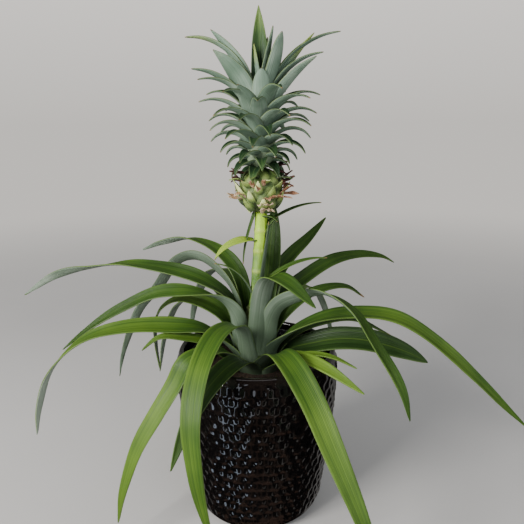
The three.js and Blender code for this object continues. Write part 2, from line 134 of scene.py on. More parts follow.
print("a spline through 3 knots has", len(spline([Vector((0, 0, z)) for z in range(3)])), "points")

# %% [markdown]
# ## Turning a mesh into a piece
# A finished piece is an object at the origin, with its place in its mesh. It rides on the plant's
# one body, and the solids that it stands for are hidden.

# %% Tool for finished pieces
def finish_piece(bm, name, materials, replaces=()):
    """Makes a mesh in millimetres into an object in metres that belongs to the plant."""
    bmesh.ops.scale(bm, vec=(MM, MM, MM), verts=bm.verts)
    mesh = bpy.data.meshes.new(name)
    bm.to_mesh(mesh)
    bm.free()
    mesh.shade_smooth()
    for material in materials:
        mesh.materials.append(material)
    piece = bpy.data.objects.new(name, mesh)
    bpy.context.scene.collection.objects.link(piece)
    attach(piece, "root")
    if replaces:
        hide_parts(*replaces)
    return piece


def thicken(piece, thickness):
    """Gives a strip its thickness, with its second material on the underside, and rounds its edges."""
    solid = piece.modifiers.new("thickness", "SOLIDIFY")
    solid.thickness = thickness * MM
    solid.offset = 0
    solid.material_offset = 1
    soft = piece.modifiers.new("rounding", "SUBSURF")
    soft.levels = soft.render_levels = 1


def new_strips():
    """An empty mesh with the layers that a strip needs: its UV map, its tone and its dryness."""
    bm = bmesh.new()
    bm.loops.layers.uv.new("UVMap")
    bm.verts.layers.float.new("tone")
    bm.verts.layers.float.new("dry")
    return bm


print("tools ready")

# %% [markdown]
# ## Bending a strip
# A leaf begins as a flat grid. Each row of the grid goes to a place along the leaf's line, and each
# point of the row goes to its place on the leaf's curved cross-section there. The UV map keeps the
# flat layout, across and along, and later the veins follow it. Two numbers stay with each point:
# its tone, from dark to bright, and how dry it is.

# %% Bend a strip along a line
LAYOUT_UNIT = 100  # a strip's UV map counts its length in steps of this many millimetres
PLAIN_STRIP = {"roll": lambda t: 0, "wave": lambda u, t: 0, "dry": lambda t: 0.0}


def add_strip(bm, line, shape, across, along):
    """Adds a strip to the mesh. shape gives functions of t, from 0 at the root to 1 at the tip:
    azimuth, half_width, curl (how far its edges turn up) and tone, and if need be roll, wave and dry."""
    shape = {**PLAIN_STRIP, **shape}
    uv_layer = bm.loops.layers.uv["UVMap"]
    tone_layer = bm.verts.layers.float["tone"]
    dry_layer = bm.verts.layers.float["dry"]
    made = bmesh.ops.create_grid(bm, x_segments=across, y_segments=along, size=1, calc_uvs=True)
    rows = {}
    for vert in made["verts"]:
        u = vert.co.x
        t = (vert.co.y + 1) / 2
        key = round(t * along)
        if key not in rows:
            ahead = line.along(t)
            azimuth = math.radians(shape["azimuth"](t))
            side = Vector((math.sin(azimuth), -math.cos(azimuth), 0))
            side = (side - ahead * side.dot(ahead)).normalized()
            side.rotate(Matrix.Rotation(math.radians(shape["roll"](t)), 3, ahead))
            rows[key] = (line.at(t), side, side.cross(ahead), shape["half_width"](t), shape["curl"](t))
        place, side, up, half_width, curl = rows[key]
        bend = max(math.radians(curl), 0.01)
        out = half_width * math.sin(bend * u) / bend
        rise = half_width * (1 - math.cos(bend * u)) / bend + shape["wave"](u, t)
        vert.co = place + out * side + rise * up
        vert[tone_layer] = shape["tone"](t)
        vert[dry_layer] = shape["dry"](t)
    for face in {face for vert in made["verts"] for face in vert.link_faces}:
        for loop in face.loops:
            loop[uv_layer].uv.y *= line.length / LAYOUT_UNIT


print("strip tool ready")

# %% [markdown]
# ## Building finishes
# A finish is a small network of nodes. `wire` adds one node: an input that is given another node's
# output is linked to it, and any other value is set on the socket. Effects that several finishes
# share, such as the fine lines along a leaf, are node groups that give out a mask or a height, and
# the shader itself stays in the material.

# %% Tools for finishes
def wire(tree, kind, inputs=None, **properties):
    """Adds a node. inputs maps a socket's name or number to a value or to another node's output."""
    node = tree.nodes.new("ShaderNode" + kind)
    for key, value in properties.items():
        setattr(node, key, value)
    for key, value in (inputs or {}).items():
        if isinstance(value, bpy.types.NodeSocket):
            tree.links.new(value, node.inputs[key])
        else:
            node.inputs[key].default_value = value
    return node


def math_node(tree, operation, *values):
    return wire(tree, "Math", dict(enumerate(values)), operation=operation).outputs[0]


def remap(tree, value, low, high, to_low=0.0, to_high=1.0):
    inputs = {"Value": value, "From Min": low, "From Max": high, "To Min": to_low, "To Max": to_high}
    return wire(tree, "MapRange", inputs).outputs["Result"]


def mix_colours(tree, factor, a, b):
    """Sockets 6 and 7 of a Mix node are its colours A and B, and output 2 is their mix."""
    return wire(tree, "Mix", {0: factor, 6: a, 7: b}, data_type="RGBA").outputs[2]


def noise_value(tree, vector, scale, detail=3.0, roughness=0.55):
    inputs = {"Vector": vector, "Scale": scale, "Detail": detail, "Roughness": roughness}
    return wire(tree, "TexNoise", inputs).outputs["Fac"]


def ramp(tree, value, stops):
    """A colour ramp. stops lists (place, (red, green, blue))."""
    node = wire(tree, "ValToRGB", {"Fac": value})
    elements = node.color_ramp.elements
    while len(elements) < len(stops):
        elements.new(0.5)
    for element, (place, colour) in zip(elements, stops):
        element.position = place
        element.color = (*colour, 1)
    return node.outputs["Color"]


def attribute(tree, name):
    return wire(tree, "Attribute", attribute_name=name).outputs["Fac"]


def from_middle(tree):
    """How far a point lies from a strip's middle line, from 0 on the line to 0.5 at the edge."""
    across = wire(tree, "SeparateXYZ", {0: wire(tree, "TexCoord").outputs["UV"]}).outputs[0]
    return math_node(tree, "ABSOLUTE", math_node(tree, "SUBTRACT", across, 0.5))


def dryness(tree, grain):
    """A mask of the dry parts of a strip, with a ragged edge."""
    ragged = math_node(tree, "MULTIPLY_ADD", grain, 0.35, attribute(tree, "dry"))
    return remap(tree, ragged, 0.45, 0.8)


def new_finish(name):
    material = bpy.data.materials.new(name)
    material.use_nodes = True
    material.node_tree.nodes.clear()
    return material, material.node_tree


def shade(material, colour, roughness, relief, **constants):
    """Ends a finish with its shader. roughness is a mask and the values at its two ends, and relief is
    a height, its strength and its depth. Constants are set on the shader's own sockets."""
    tree = material.node_tree
    height, strength, depth = relief
    normal = wire(tree, "Bump", {"Height": height, "Strength": strength, "Distance": depth})
    mask, smooth, rough = roughness
    inputs = {"Base Color": colour, "Roughness": remap(tree, mask, 0, 1, smooth, rough),
              "Normal": normal.outputs["Normal"]}
    inputs.update({key.replace("_", " "): value for key, value in constants.items()})
    shader = wire(tree, "BsdfPrincipled", inputs)
    wire(tree, "OutputMaterial", {"Surface": shader.outputs["BSDF"]})
    return material


def new_group(name, inputs, outputs):
    """A node group whose inputs are a dict of names and start values, and whose outputs are masks."""
    tree = bpy.data.node_groups.new(name, "ShaderNodeTree")
    for label, start in inputs.items():
        kind = "NodeSocketVector" if start is None else "NodeSocketFloat"
        socket = tree.interface.new_socket(label, in_out="INPUT", socket_type=kind)
        if start is not None:
            socket.default_value = start
    for label in outputs:
        tree.interface.new_socket(label, in_out="OUTPUT", socket_type="NodeSocketFloat")
    return tree, tree.nodes.new("NodeGroupInput").outputs, tree.nodes.new("NodeGroupOutput").inputs


print("finish tools ready")

# %% [markdown]
# ## Effects that the finishes share
# Strap leaves have fine parallel veins, and between them lighter and darker streaks that run the
# whole length. The group reads the strip's own UV map, so the lines bend with the leaf. A second
# group gives the slow, cloudy changes of colour that every living or fired surface has.

# %% Shared groups: veins and clouds
TWO_TURNS = 12.566


def vein_group():
    tree, given, result = new_group("veins", {"Layout": None, "Lines": 14.0}, ["Vein", "Streak"])
    across, along = wire(tree, "SeparateXYZ", {0: given["Layout"]}).outputs[:2]
    slow_along = math_node(tree, "MULTIPLY", along, 0.03)
    stretched = wire(tree, "CombineXYZ", {0: across, 1: slow_along}).outputs[0]
    streak = noise_value(tree, stretched, given["Lines"], 4.0, 0.65)
    lines = math_node(tree, "MULTIPLY", across, given["Lines"])
    turns = math_node(tree, "MULTIPLY", lines, TWO_TURNS)
    wander = math_node(tree, "ADD", turns, math_node(tree, "MULTIPLY", streak, 5.0))
    vein = math_node(tree, "MULTIPLY_ADD", math_node(tree, "SINE", wander), 0.5, 0.5)
    tree.links.new(vein, result["Vein"])
    tree.links.new(remap(tree, streak, 0.3, 0.7), result["Streak"])
    return tree


def cloud_group():
    tree, given, result = new_group("clouds", {"Place": None, "Size": 30.0}, ["Cloud", "Grain"])
    cloud = noise_value(tree, given["Place"], given["Size"], 2.0, 0.5)
    fine = noise_value(tree, given["Place"], math_node(tree, "MULTIPLY", given["Size"], 14.0), 4.0, 0.6)
    tree.links.new(remap(tree, cloud, 0.3, 0.7), result["Cloud"])
    tree.links.new(remap(tree, fine, 0.3, 0.7), result["Grain"])
    return tree


VEINS = vein_group()
CLOUDS = cloud_group()


def veins_of(tree, lines):
    inputs = {"Layout": wire(tree, "TexCoord").outputs["UV"], "Lines": lines}
    return wire(tree, "Group", inputs, node_tree=VEINS).outputs


def clouds_of(tree, size):
    inputs = {"Place": wire(tree, "TexCoord").outputs["Object"], "Size": size}
    return wire(tree, "Group", inputs, node_tree=CLOUDS).outputs


print("groups:", [group.name for group in bpy.data.node_groups])

# %% [markdown]
# ## Leaf finishes
# The two sides of a leaf look like two different plants. The upper side is a satin, saturated
# green. The underside is covered with tiny silvery scales that give it a dull, grey-blue bloom. The
# strip's thickness gives its underside the second material, so a leaf that twists shows its silver.

# %% Leaf finishes
DRY_TAN = (0.30, 0.19, 0.085, 1)
SUNLIT = (0.30, 0.44, 0.045, 1)


def leaf_upper(name, dark, fresh, bright, edge):
    material, tree = new_finish(name)
    veins = veins_of(tree, 9.0)
    clouds = clouds_of(tree, 22.0)
    tone = math_node(tree, "MULTIPLY_ADD", veins["Streak"], 0.48, attribute(tree, "tone"))
    tone = math_node(tree, "MULTIPLY_ADD", clouds["Cloud"], 0.26, math_node(tree, "SUBTRACT", tone, 0.38))
    green = ramp(tree, tone, [(0.05, dark), (0.5, fresh), (0.95, bright)])
    green = mix_colours(tree, remap(tree, tone, 1.0, 1.4), green, SUNLIT)
    across = from_middle(tree)
    rib = remap(tree, across, 0.035, 0.0, 0.0, 0.35)
    green = mix_colours(tree, rib, green, (*bright, 1))
    rim = remap(tree, across, 0.46, 0.498, 0.0, 0.4)
    green = mix_colours(tree, rim, green, (*edge, 1))
    colour = mix_colours(tree, dryness(tree, clouds["Grain"]), green, DRY_TAN)
    height = math_node(tree, "MULTIPLY_ADD", veins["Vein"], 0.5, veins["Streak"])
    return shade(material, colour, (veins["Streak"], 0.40, 0.56), (height, 0.35, 0.0006),
                 Specular_IOR_Level=0.32)


def leaf_underside(name, shadow, bloom, silver):
    material, tree = new_finish(name)
    veins = veins_of(tree, 11.0)
    clouds = clouds_of(tree, 26.0)
    cloudy = math_node(tree, "MULTIPLY", clouds["Cloud"], 0.4)
    tone = math_node(tree, "MULTIPLY_ADD", veins["Streak"], 0.45, cloudy)
    tone = math_node(tree, "SUBTRACT", tone, 0.15)
    tone = math_node(tree, "MULTIPLY_ADD", attribute(tree, "tone"), 0.5, tone)
    bloomed = ramp(tree, tone, [(0.1, shadow), (0.5, bloom), (0.85, silver)])
    lines = remap(tree, veins["Vein"], 0.7, 1.0, 0.0, 0.3)
    colour = mix_colours(tree, lines, bloomed, (*silver, 1))
    # Darker towards the root: painted shade, where the leaves crowd into the heart of the rosette.
    along = wire(tree, "SeparateXYZ", {0: wire(tree, "TexCoord").outputs["UV"]}).outputs[1]
    colour = mix_colours(tree, remap(tree, along, 0.15, 0.6, 0.8, 0.0), colour, (*shadow, 1))
    colour = mix_colours(tree, dryness(tree, clouds["Grain"]), colour, DRY_TAN)
    return shade(material, colour, (clouds["Grain"], 0.5, 0.68), (veins["Vein"], 0.3, 0.0005))


LEAF_UPPER = leaf_upper("leaf upper side", (0.012, 0.033, 0.005), (0.040, 0.098, 0.009),
                        (0.135, 0.24, 0.022), (0.22, 0.31, 0.08))
LEAF_UNDERSIDE = leaf_underside("leaf underside", (0.055, 0.09, 0.045), (0.135, 0.195, 0.13),
                                (0.31, 0.375, 0.30))
print("finishes:", [material.name for material in bpy.data.materials if "leaf" in material.name])

# %% [markdown]
# ## The strap leaves
# Each leaf clasps the short stem with a broad base, rises, and arches over under its own weight.
# It could be drawn as a flat outline and bent afterwards, but a line of a few knots, each a reach
# from the pot's axis and a height, says directly how a leaf hangs. The list is in the order in
# which the leaves come round the stem, starting at the front. Three small tables hold what only a
# few leaves have: an underside that turns up near the base, a rounder tip, and a sheath that begins
# further round the stem than the blade that grows out of it.

# %% Where the leaves go
STEM_RADIUS = 18.5
STEM_NECK = 8.5
STEM_TOP = 180
SOIL_HEIGHT = 128
LEAF_THICKNESS = 1.3
SHEATH = 15
# Leaves that turn their undersides up near the base, in degrees
BASE_ROLLS = {"left_thin": 62, "right_inner": -34, "left_drooping": 50}
# How round the tip of a leaf is, and the leaves whose tips are rounder
USUAL_TIP = 2.8
BLUNT_TIPS = {"right_low": 6.0, "right_inner": 4.0, "front_inner": 3.6, "back_right_tall": 4.5}
# Sheaths that begin further round the stem than their blades, in degrees
SHEATH_TURNS = {"right_inner": -52, "left_thin": 48, "left_long": 30, "right_long": -30,
                "left_drooping": 25}
# name: azimuth, swing, root, width, tilt, twist, tone, dry tip, [(reach, height), ...]
LEAVES = {
    "front_inner": (-86, 40, 158, 21, 0, 20, 0.3, 0,
                    [(17, 182), (19, 201), (25, 212), (44, 211), (66, 194)]),
    "front_right": (-70, 10, 137, 22, 14, 0, 0.55, 0,
                    [(48, 156), (68, 154), (97, 138), (120, 113), (143, 85), (160, 58), (172, 36)]),
    "front_right_short": (-54, 6, 131, 15, 22, 0, 0.75, 0, [(44, 149), (66, 153), (90, 150), (116, 142)]),
    "right_small": (-33, 2, 133, 8, 10, 0, 0.85, 0, [(45, 146), (70, 150), (92, 144)]),
    "right_inner": (-22, -10, 156, 18, -34, 80, 0.4, 0,
                    [(22, 184), (38, 194), (60, 199), (84, 189), (109, 160), (129, 132), (136, 112)]),
    "right_low": (-12, -4, 137, 24, 34, 4, 0.1, 0,
                  [(28, 143), (48, 151), (70, 157), (92, 158), (124, 152), (142, 145)]),
    "right_long": (-10, 2, 149, 19, 14, 40, 0.5, 0,
                   [(33, 162), (55, 173), (82, 178), (120, 174), (162, 145), (205, 104), (228, 82)]),
    "right_back_low": (20, 0, 140, 13, 20, 0, 0.15, 4, [(40, 154), (62, 159), (94, 157), (136, 134)]),
    "right_back_short": (24, 2, 156, 12, 24, 8, 0.35, 4, [(32, 174), (60, 187), (90, 186), (112, 172)]),
    "right_back_long": (38, 0, 163, 15, 30, 20, 0.4, 0,
                        [(26, 183), (46, 193), (90, 207), (125, 207), (160, 200), (180, 190)]),
    "back_right_upright": (40, 10, 168, 15, 24, 20, 0.25, 0, [(24, 204), (40, 216), (70, 229), (104, 243)]),
    "back_right_tall": (52, 8, 172, 22, 26, 4, 0.35, 0, [(15, 192), (19, 212), (25, 236), (33, 262)]),
    "back_right_low": (62, -4, 146, 14, 10, 0, 0.4, 6,
                       [(40, 166), (80, 176), (122, 160), (150, 118), (160, 84)]),
    "back_right": (88, -4, 154, 15, 0, -8, 0.5, 0,
                   [(34, 172), (72, 184), (118, 174), (160, 132), (178, 84)]),
    "back_low": (100, 5, 138, 17, 0, 6, 0.45, 8, [(42, 154), (80, 160), (122, 138), (142, 92), (148, 58)]),
    "back_left": (114, 4, 158, 15, 0, 8, 0.4, 0,
                  [(30, 180), (68, 194), (112, 182), (150, 140), (166, 94)]),
    "back_left_low": (130, 4, 142, 15, -10, -6, 0.5, 0,
                      [(40, 160), (82, 170), (122, 150), (146, 106), (154, 70)]),
    "back_left_upper": (134, 6, 173, 15, -34, 110, 0.4, 0,
                        [(22, 206), (45, 222), (80, 228), (124, 219), (150, 209)]),
    "left_drooping": (142, 6, 168, 15, 20, 10, 0.25, 0,
                      [(24, 192), (44, 208), (68, 215), (90, 208), (112, 182), (142, 150), (166, 101),
                       (172, 74)]),
    "left_back_short": (158, -6, 155, 11, -20, 0, 0.2, 0, [(24, 176), (38, 190), (54, 202)]),
    "left_long": (172, -11, 164, 18, -44, 150, 0.45, 0,
                  [(22, 186), (44, 201), (76, 209), (120, 211), (160, 204), (200, 193), (244, 168)]),
    "left_upper_arch": (176, -4, 145, 13, -20, 30, 0.5, 0,
                        [(30, 170), (50, 182), (70, 185), (86, 172), (90, 146), (88, 118)]),
    "left_thin": (191, -8, 156, 16, -38, 10, 0.35, 0,
                  [(22, 182), (42, 194), (78, 197), (110, 185), (146, 162), (165, 146)]),
    "left_bright": (194, -4, 143, 18, -48, 115, 0.62, 0,
                    [(44, 163), (70, 169), (112, 171), (144, 162), (168, 140), (182, 107), (187, 80)]),
    "left_short": (196, 4, 131, 11, -34, 0, 0.5, 0, [(44, 154), (64, 161), (84, 164), (98, 155)]),
    "left_front": (224, -14, 137, 18, -16, -24, 0.66, 0,
                   [(42, 152), (58, 153), (71, 149), (80, 133), (96, 111), (113, 84), (125, 50),
                    (130, 20)]),
    "front_left": (235, 20, 147, 20, 0, -8, 0.65, 0,
                   [(25, 168), (44, 176), (66, 176), (96, 160), (116, 134), (123, 100), (122, 66),
                    (118, 38)]),
    "front_left_low": (256, -15, 132, 18, -20, -14, 0.2, 0,
                       [(40, 147), (64, 152), (92, 145), (110, 127), (124, 96)]),
}
print(len(LEAVES), "strap leaves")

# %% [markdown]
# ## Making the strap leaves
# The width of a leaf is what gives it its look: the base is broad because it wraps the stem, a
# slight waist follows, and then comes the long taper. The edges turn up into a gutter that leads
# water to the stem, and they flutter a little.

# %% Make the strap leaves
def stem_radius(height):
    return lerp(STEM_RADIUS, STEM_NECK, min(max((height - SOIL_HEIGHT) / (STEM_TOP - SOIL_HEIGHT), 0), 1))


def strap_width(t, width, length, blunt):
    """Full width at a share t of the leaf: a broad clasping sheath, a slight waist, a long taper."""
    travelled = t * length
    base = lerp(0.6 * width + 16, 0.5 * width + 8, smoothstep(travelled, 0, SHEATH + 14))
    opened = lerp(base, width, smoothstep(travelled, SHEATH + 6, SHEATH + 50))
    return max(opened * (1 - t ** blunt) ** 0.85, 0.3)


def hump(t):
    """Rises after the sheath and is gone again before the middle of the leaf."""
    return smoothstep(t, 0.02, 0.12) * (1 - smoothstep(t, 0.22, 0.48))


def strap_leaf(index, name, azimuth, swing, root, width, tilt, twist, tone, dry, knots):
    clasp = [(stem_radius(root - SHEATH) + 0.9, root - SHEATH), (stem_radius(root - 5) + 2.6, root - 5)]
    sheath_turn = SHEATH_TURNS.get(name, 0)
    base_roll = BASE_ROLLS.get(name, 0)
    blunt = BLUNT_TIPS.get(name, USUAL_TIP)
    places = []
    for i, (out, up) in enumerate([*clasp, *knots]):
        left_to_turn = sheath_turn * (1, 0.85, 0.35, 0.08, 0)[min(i, 4)]
        turned_to = math.radians(azimuth + swing * max(i - 1, 0) / len(knots) + left_to_turn)
        places.append(around(turned_to, out, up))
    line = Line(spline(places))
    flutter = draw(index, 3)

    def passed(t, start, end):
        """A smooth step between two places on the leaf, in millimetres from its root."""
        return smoothstep(t * line.length, start, end)

    def wave(u, t):
        ripple = math.sin(t * line.length / 9 + flutter * 3 + (1.2 if u > 0 else 0))
        return 0.45 * ripple * abs(u) ** 3 * passed(t, 30, 70)

    def tone_at(t):
        shaded_root = 0.22 * (1 - smoothstep(t, 0.15, 0.5))
        return tone + 0.1 * math.sin(3 * t + flutter * 2) - shaded_root + 0.05

    bm = new_strips()
    add_strip(bm, line, {
        "azimuth": lambda t: azimuth + swing * t + sheath_turn * (1 - passed(t, SHEATH - 4, SHEATH + 28)),
        "half_width": lambda t: strap_width(t, width, line.length, blunt) / 2,
        "roll": lambda t: tilt * smoothstep(t, 0.1, 0.35) + twist * t * t + base_roll * hump(t),
        "curl": lambda t: lerp(62, 30, passed(t, SHEATH / 2, SHEATH + 34)) * (1 - 0.5 * t),
        "wave": wave,
        "tone": tone_at,
        "dry": lambda t: passed(t, line.length - dry - 8, line.length) if dry else 0.0,
    }, across=8, along=max(20, round(line.length / 5)))
    piece = finish_piece(bm, "strap_leaf_" + name, [LEAF_UPPER, LEAF_UNDERSIDE], ["leaf_" + name])
    thicken(piece, LEAF_THICKNESS)
    return piece


strap_leaves = [strap_leaf(i, name, *facts) for i, (name, facts) in enumerate(LEAVES.items())]
leaf_faces = sum(len(piece.data.polygons) for piece in strap_leaves)
print(len(strap_leaves), "leaves,", leaf_faces, "faces before rounding")

# %% [markdown]
# ## The ceramic pot's outline
# A pot like this is cast in a mould and glazed. Its shape is one outline turned round an axis:
# across the flat foot, up the wall, round the thin lip and down the inside. The outline is drawn as
# a chain of points, and `spin` turns it. It has a point for each millimetre of the wall's height,
# because the hollows come next and need points to move.

# %% Turn an outline
POT_HEIGHT = 145
POT_FLOOR = 6
POT_WALL = 5
FOOT_RADIUS = 48
BULGE_RADIUS = 70
LIP_RADIUS = 66.5


def turned(outline, sides):
    """A closed skin: the outline, from axis to axis, turned once round Z."""
    bm = bmesh.new()
    chain = [bm.verts.new((radius, 0, height)) for radius, height in outline]
    edges = [bm.edges.new(pair) for pair in zip(chain, chain[1:])]
    bmesh.ops.spin(bm, geom=chain + edges, cent=(0, 0, 0), axis=(0, 0, 1), angle=2 * math.pi,
                   steps=sides, use_merge=True)
    bmesh.ops.remove_doubles(bm, verts=bm.verts, dist=0.001)
    bmesh.ops.recalc_face_normals(bm, faces=bm.faces)
    return bm


def pot_radius(height):
    foot = 8 * (1 - math.sqrt(min(max(height / 12, 0), 1)))
    wall = lerp(51, BULGE_RADIUS, smoothstep(height, -60, POT_HEIGHT - 12))
    shoulder = (BULGE_RADIUS - LIP_RADIUS) * smoothstep(height, POT_HEIGHT - 12, POT_HEIGHT)
    return wall - foot - shoulder


def arc(centre, radius, start, end, steps):
    """Points of a round stretch of an outline, between two angles in degrees."""
    turns = [math.radians(lerp(start, end, i / steps)) for i in range(steps + 1)]
    return [(centre[0] + radius * math.cos(a), centre[1] + radius * math.sin(a)) for a in turns]


LIP = 2.2
pot_outline = [(0, 0), (FOOT_RADIUS - 4, 0), (FOOT_RADIUS - 1.2, 0)]
pot_outline += [(pot_radius(h), h) for h in (0.4, *range(1, POT_HEIGHT - 2))]
pot_outline += arc((pot_radius(POT_HEIGHT) - LIP, POT_HEIGHT - LIP), LIP, 0, 180, 10)
pot_outline += [(pot_radius(h) - POT_WALL, h) for h in (135, 110, 85, 60, 35, 15)]
pot_outline += [(FOOT_RADIUS - 8, POT_FLOOR), (0, POT_FLOOR)]
print("outline of", len(pot_outline), "points")

# %% [markdown]
# ## The hammered hollows
# The wall is covered with small round hollows that meet in ridges, as hammered metal is. A bump
# texture would shade them but leave the pot's edge straight, and the glaze mirrors every slope, so
# they are real here. Each point of the wall sinks by how near the hollows around it are. Taking
# only the deepest would leave knife edges, so their depths are blended, and the ridges come out a
# little round, as glaze leaves them. Hollows sit in staggered rows, pushed about a little, as a
# hand would set them.

# %% Press the hollows into the wall
HOLLOWS_AROUND = 48
HOLLOW_ROW = 7.6
HOLLOW_REACH = 5.5
HOLLOW_DEPTH = 1.6
HOLLOW_STRAY = 0.16
HOLLOW_UNEVEN = 0.12
RIDGE_SHARPNESS = 4.0
HOLLOW_START = 5.0


def draws(n, m, salt):
    """Repeatable draws between -1 and 1 for a grid of copies."""
    wave = np.sin(n * 12.9898 + m * 37.719 + salt * 78.233) * 43758.5453
    return 2 * (wave - np.floor(wave)) - 1


def hollow_depth(angle, height):
    cell = 2 * math.pi / HOLLOWS_AROUND
    row = np.floor((height - HOLLOW_START) / HOLLOW_ROW)
    blended = np.ones(len(angle))
    for row_step in (-1, 0, 1, 2):
        r = row + row_step
        shift = 0.5 * (r % 2)
        for column_step in (-1, 0, 1):
            c = np.round(angle / cell - shift) + column_step
            name = c % HOLLOWS_AROUND
            aside = (c + shift + HOLLOW_STRAY * draws(name, r, 1)) * cell - angle
            above = HOLLOW_START + (r + HOLLOW_STRAY * draws(name, r, 2)) * HOLLOW_ROW - height
            gap = np.hypot(aside * LIP_RADIUS, above)
            uneven = 1 + HOLLOW_UNEVEN * draws(name, r, 3)
            sunk = HOLLOW_DEPTH * uneven * (1 - (gap / HOLLOW_REACH) ** 2)
            blended += np.exp(RIDGE_SHARPNESS * sunk)
    fade = np.clip((height - 5) / 5, 0, 1) * np.clip((POT_HEIGHT - 3 - height) / 4, 0, 1)
    return np.log(blended) / RIDGE_SHARPNESS * fade


def press_hollows(piece):
    count = len(piece.data.vertices)
    places = np.empty(count * 3)
    piece.data.vertices.foreach_get("co", places)
    places = places.reshape(count, 3) / MM
    radius = np.hypot(places[:, 0], places[:, 1])
    height = places[:, 2]
    wall = np.array([pot_radius(h) for h in height])
    outside = np.abs(radius - wall) < 0.5
    depth = hollow_depth(np.arctan2(places[:, 1], places[:, 0]), height) * outside
    places[:, :2] *= ((radius - depth) / np.maximum(radius, 1))[:, None]
    piece.data.vertices.foreach_set("co", (places * MM).ravel())
    piece.data.attributes.new("tone", "FLOAT", "POINT").data.foreach_set("value", depth / HOLLOW_DEPTH)
    piece.data.update()
    return int(outside.sum())


print("hollows:", HOLLOWS_AROUND, "round the wall, in rows", HOLLOW_ROW, "mm apart")

# %% [markdown]
# ## The glaze
# The glaze is black glass over clay: nearly no colour of its own, a very smooth surface, and a
# clear coat that mirrors windows and lamps. It pools in the hollows and runs thin on the ridges,
# where a little of the brown clay shows through. Each point remembers how deep it was pressed, and
# the finish reads that number.

# %% Glaze and make the pot
def glaze_finish():
    material, tree = new_finish("black glaze")
    clouds = clouds_of(tree, 18.0)
    ridge = remap(tree, attribute(tree, "tone"), 0.55, 0.3, 0.0, 0.5)
    black = mix_colours(tree, clouds["Cloud"], (0.0022, 0.002, 0.0022, 1), (0.005, 0.0042, 0.004, 1))
    colour = mix_colours(tree, ridge, black, (0.016, 0.011, 0.009, 1))
    return shade(material, colour, (clouds["Grain"], 0.06, 0.11), (clouds["Cloud"], 0.1, 0.0004),
                 Coat_Weight=1.0, Coat_Roughness=0.03, IOR=1.5)


GLAZE = glaze_finish()
pot = finish_piece(turned(pot_outline, 480), "ceramic_pot", [GLAZE], ["cachepot"])
print("pot:", press_hollows(pot), "wall points pressed,", len(pot.data.polygons), "faces")

# %% [markdown]
# ## The grower's pot
# Inside the ceramic pot stands the thin black plastic pot that the plant was raised in. Only its
# rolled rim shows. It is a turned outline as well: down the outside from the rim and up the inside.

# %% Make the grower's pot
NURSERY_RADIUS = 58
NURSERY_FOOT = 41
NURSERY_WALL = 1.6
NURSERY_RIM = 140
NURSERY_BOTTOM = POT_FLOOR + 0.3


def nursery_bore(height):
    t = (height - NURSERY_BOTTOM) / (NURSERY_RIM - NURSERY_BOTTOM)
    return lerp(NURSERY_FOOT, NURSERY_RADIUS - 2.5, t) - NURSERY_WALL


def plastic_finish():
    material, tree = new_finish("black plastic")
    clouds = clouds_of(tree, 40.0)
    colour = mix_colours(tree, clouds["Cloud"], (0.010, 0.010, 0.011, 1), (0.022, 0.021, 0.02, 1))
    return shade(material, colour, (clouds["Grain"], 0.3, 0.45), (clouds["Grain"], 0.15, 0.0003))


PLASTIC = plastic_finish()
step_height = NURSERY_RIM - 9
nursery_outline = [(0, NURSERY_BOTTOM), (NURSERY_FOOT - 2, NURSERY_BOTTOM)]
nursery_outline += [(NURSERY_FOOT, NURSERY_BOTTOM + 2)]
nursery_outline += [(nursery_bore(h) + NURSERY_WALL, h) for h in (40, 80, step_height - 1)]
nursery_outline += [(NURSERY_RADIUS - 0.6, step_height), (NURSERY_RADIUS, step_height + 0.8)]
nursery_outline += arc((NURSERY_RADIUS - 0.8, NURSERY_RIM - 0.8), 0.8, 0, 180, 8)
nursery_outline += [(NURSERY_RADIUS - 1.8, step_height + 1), (nursery_bore(step_height), step_height - 1)]
nursery_outline += [(nursery_bore(80), 80), (nursery_bore(NURSERY_BOTTOM + 2), NURSERY_BOTTOM + 2)]
nursery_outline += [(0, NURSERY_BOTTOM + 2)]
nursery = finish_piece(turned(nursery_outline, 128), "growers_pot", [PLASTIC],
                       ["nursery_pot"])
print("grower's pot:", len(nursery.data.polygons), "faces")

# %% [markdown]
# ## Potting compost
# Bromeliads grow in an open mix of peat, bark and a little white perlite. The compost is a turned
# plug with a hole for the stem. Its top is pushed up and down by noise, and crumbs of bark and
# perlite lie pressed into it, each a rough ball with few faces.

# %% Make the compost
STEM_BOTTOM = 118
CRUMBS = 420
PERLITE_EVERY = 13


def soil_finish():
    material, tree = new_finish("potting compost")
    clouds = clouds_of(tree, 90.0)
    peat = ramp(tree, clouds["Grain"], [(0.1, (0.012, 0.007, 0.004)), (0.6, (0.05, 0.028, 0.015)),
                                        (0.95, (0.12, 0.075, 0.04))])
    white = remap(tree, attribute(tree, "tone"), 0.45, 0.55)
    colour = mix_colours(tree, white, peat, (0.55, 0.53, 0.48, 1))
    return shade(material, colour, (clouds["Cloud"], 0.75, 0.95), (clouds["Grain"], 0.8, 0.0012))


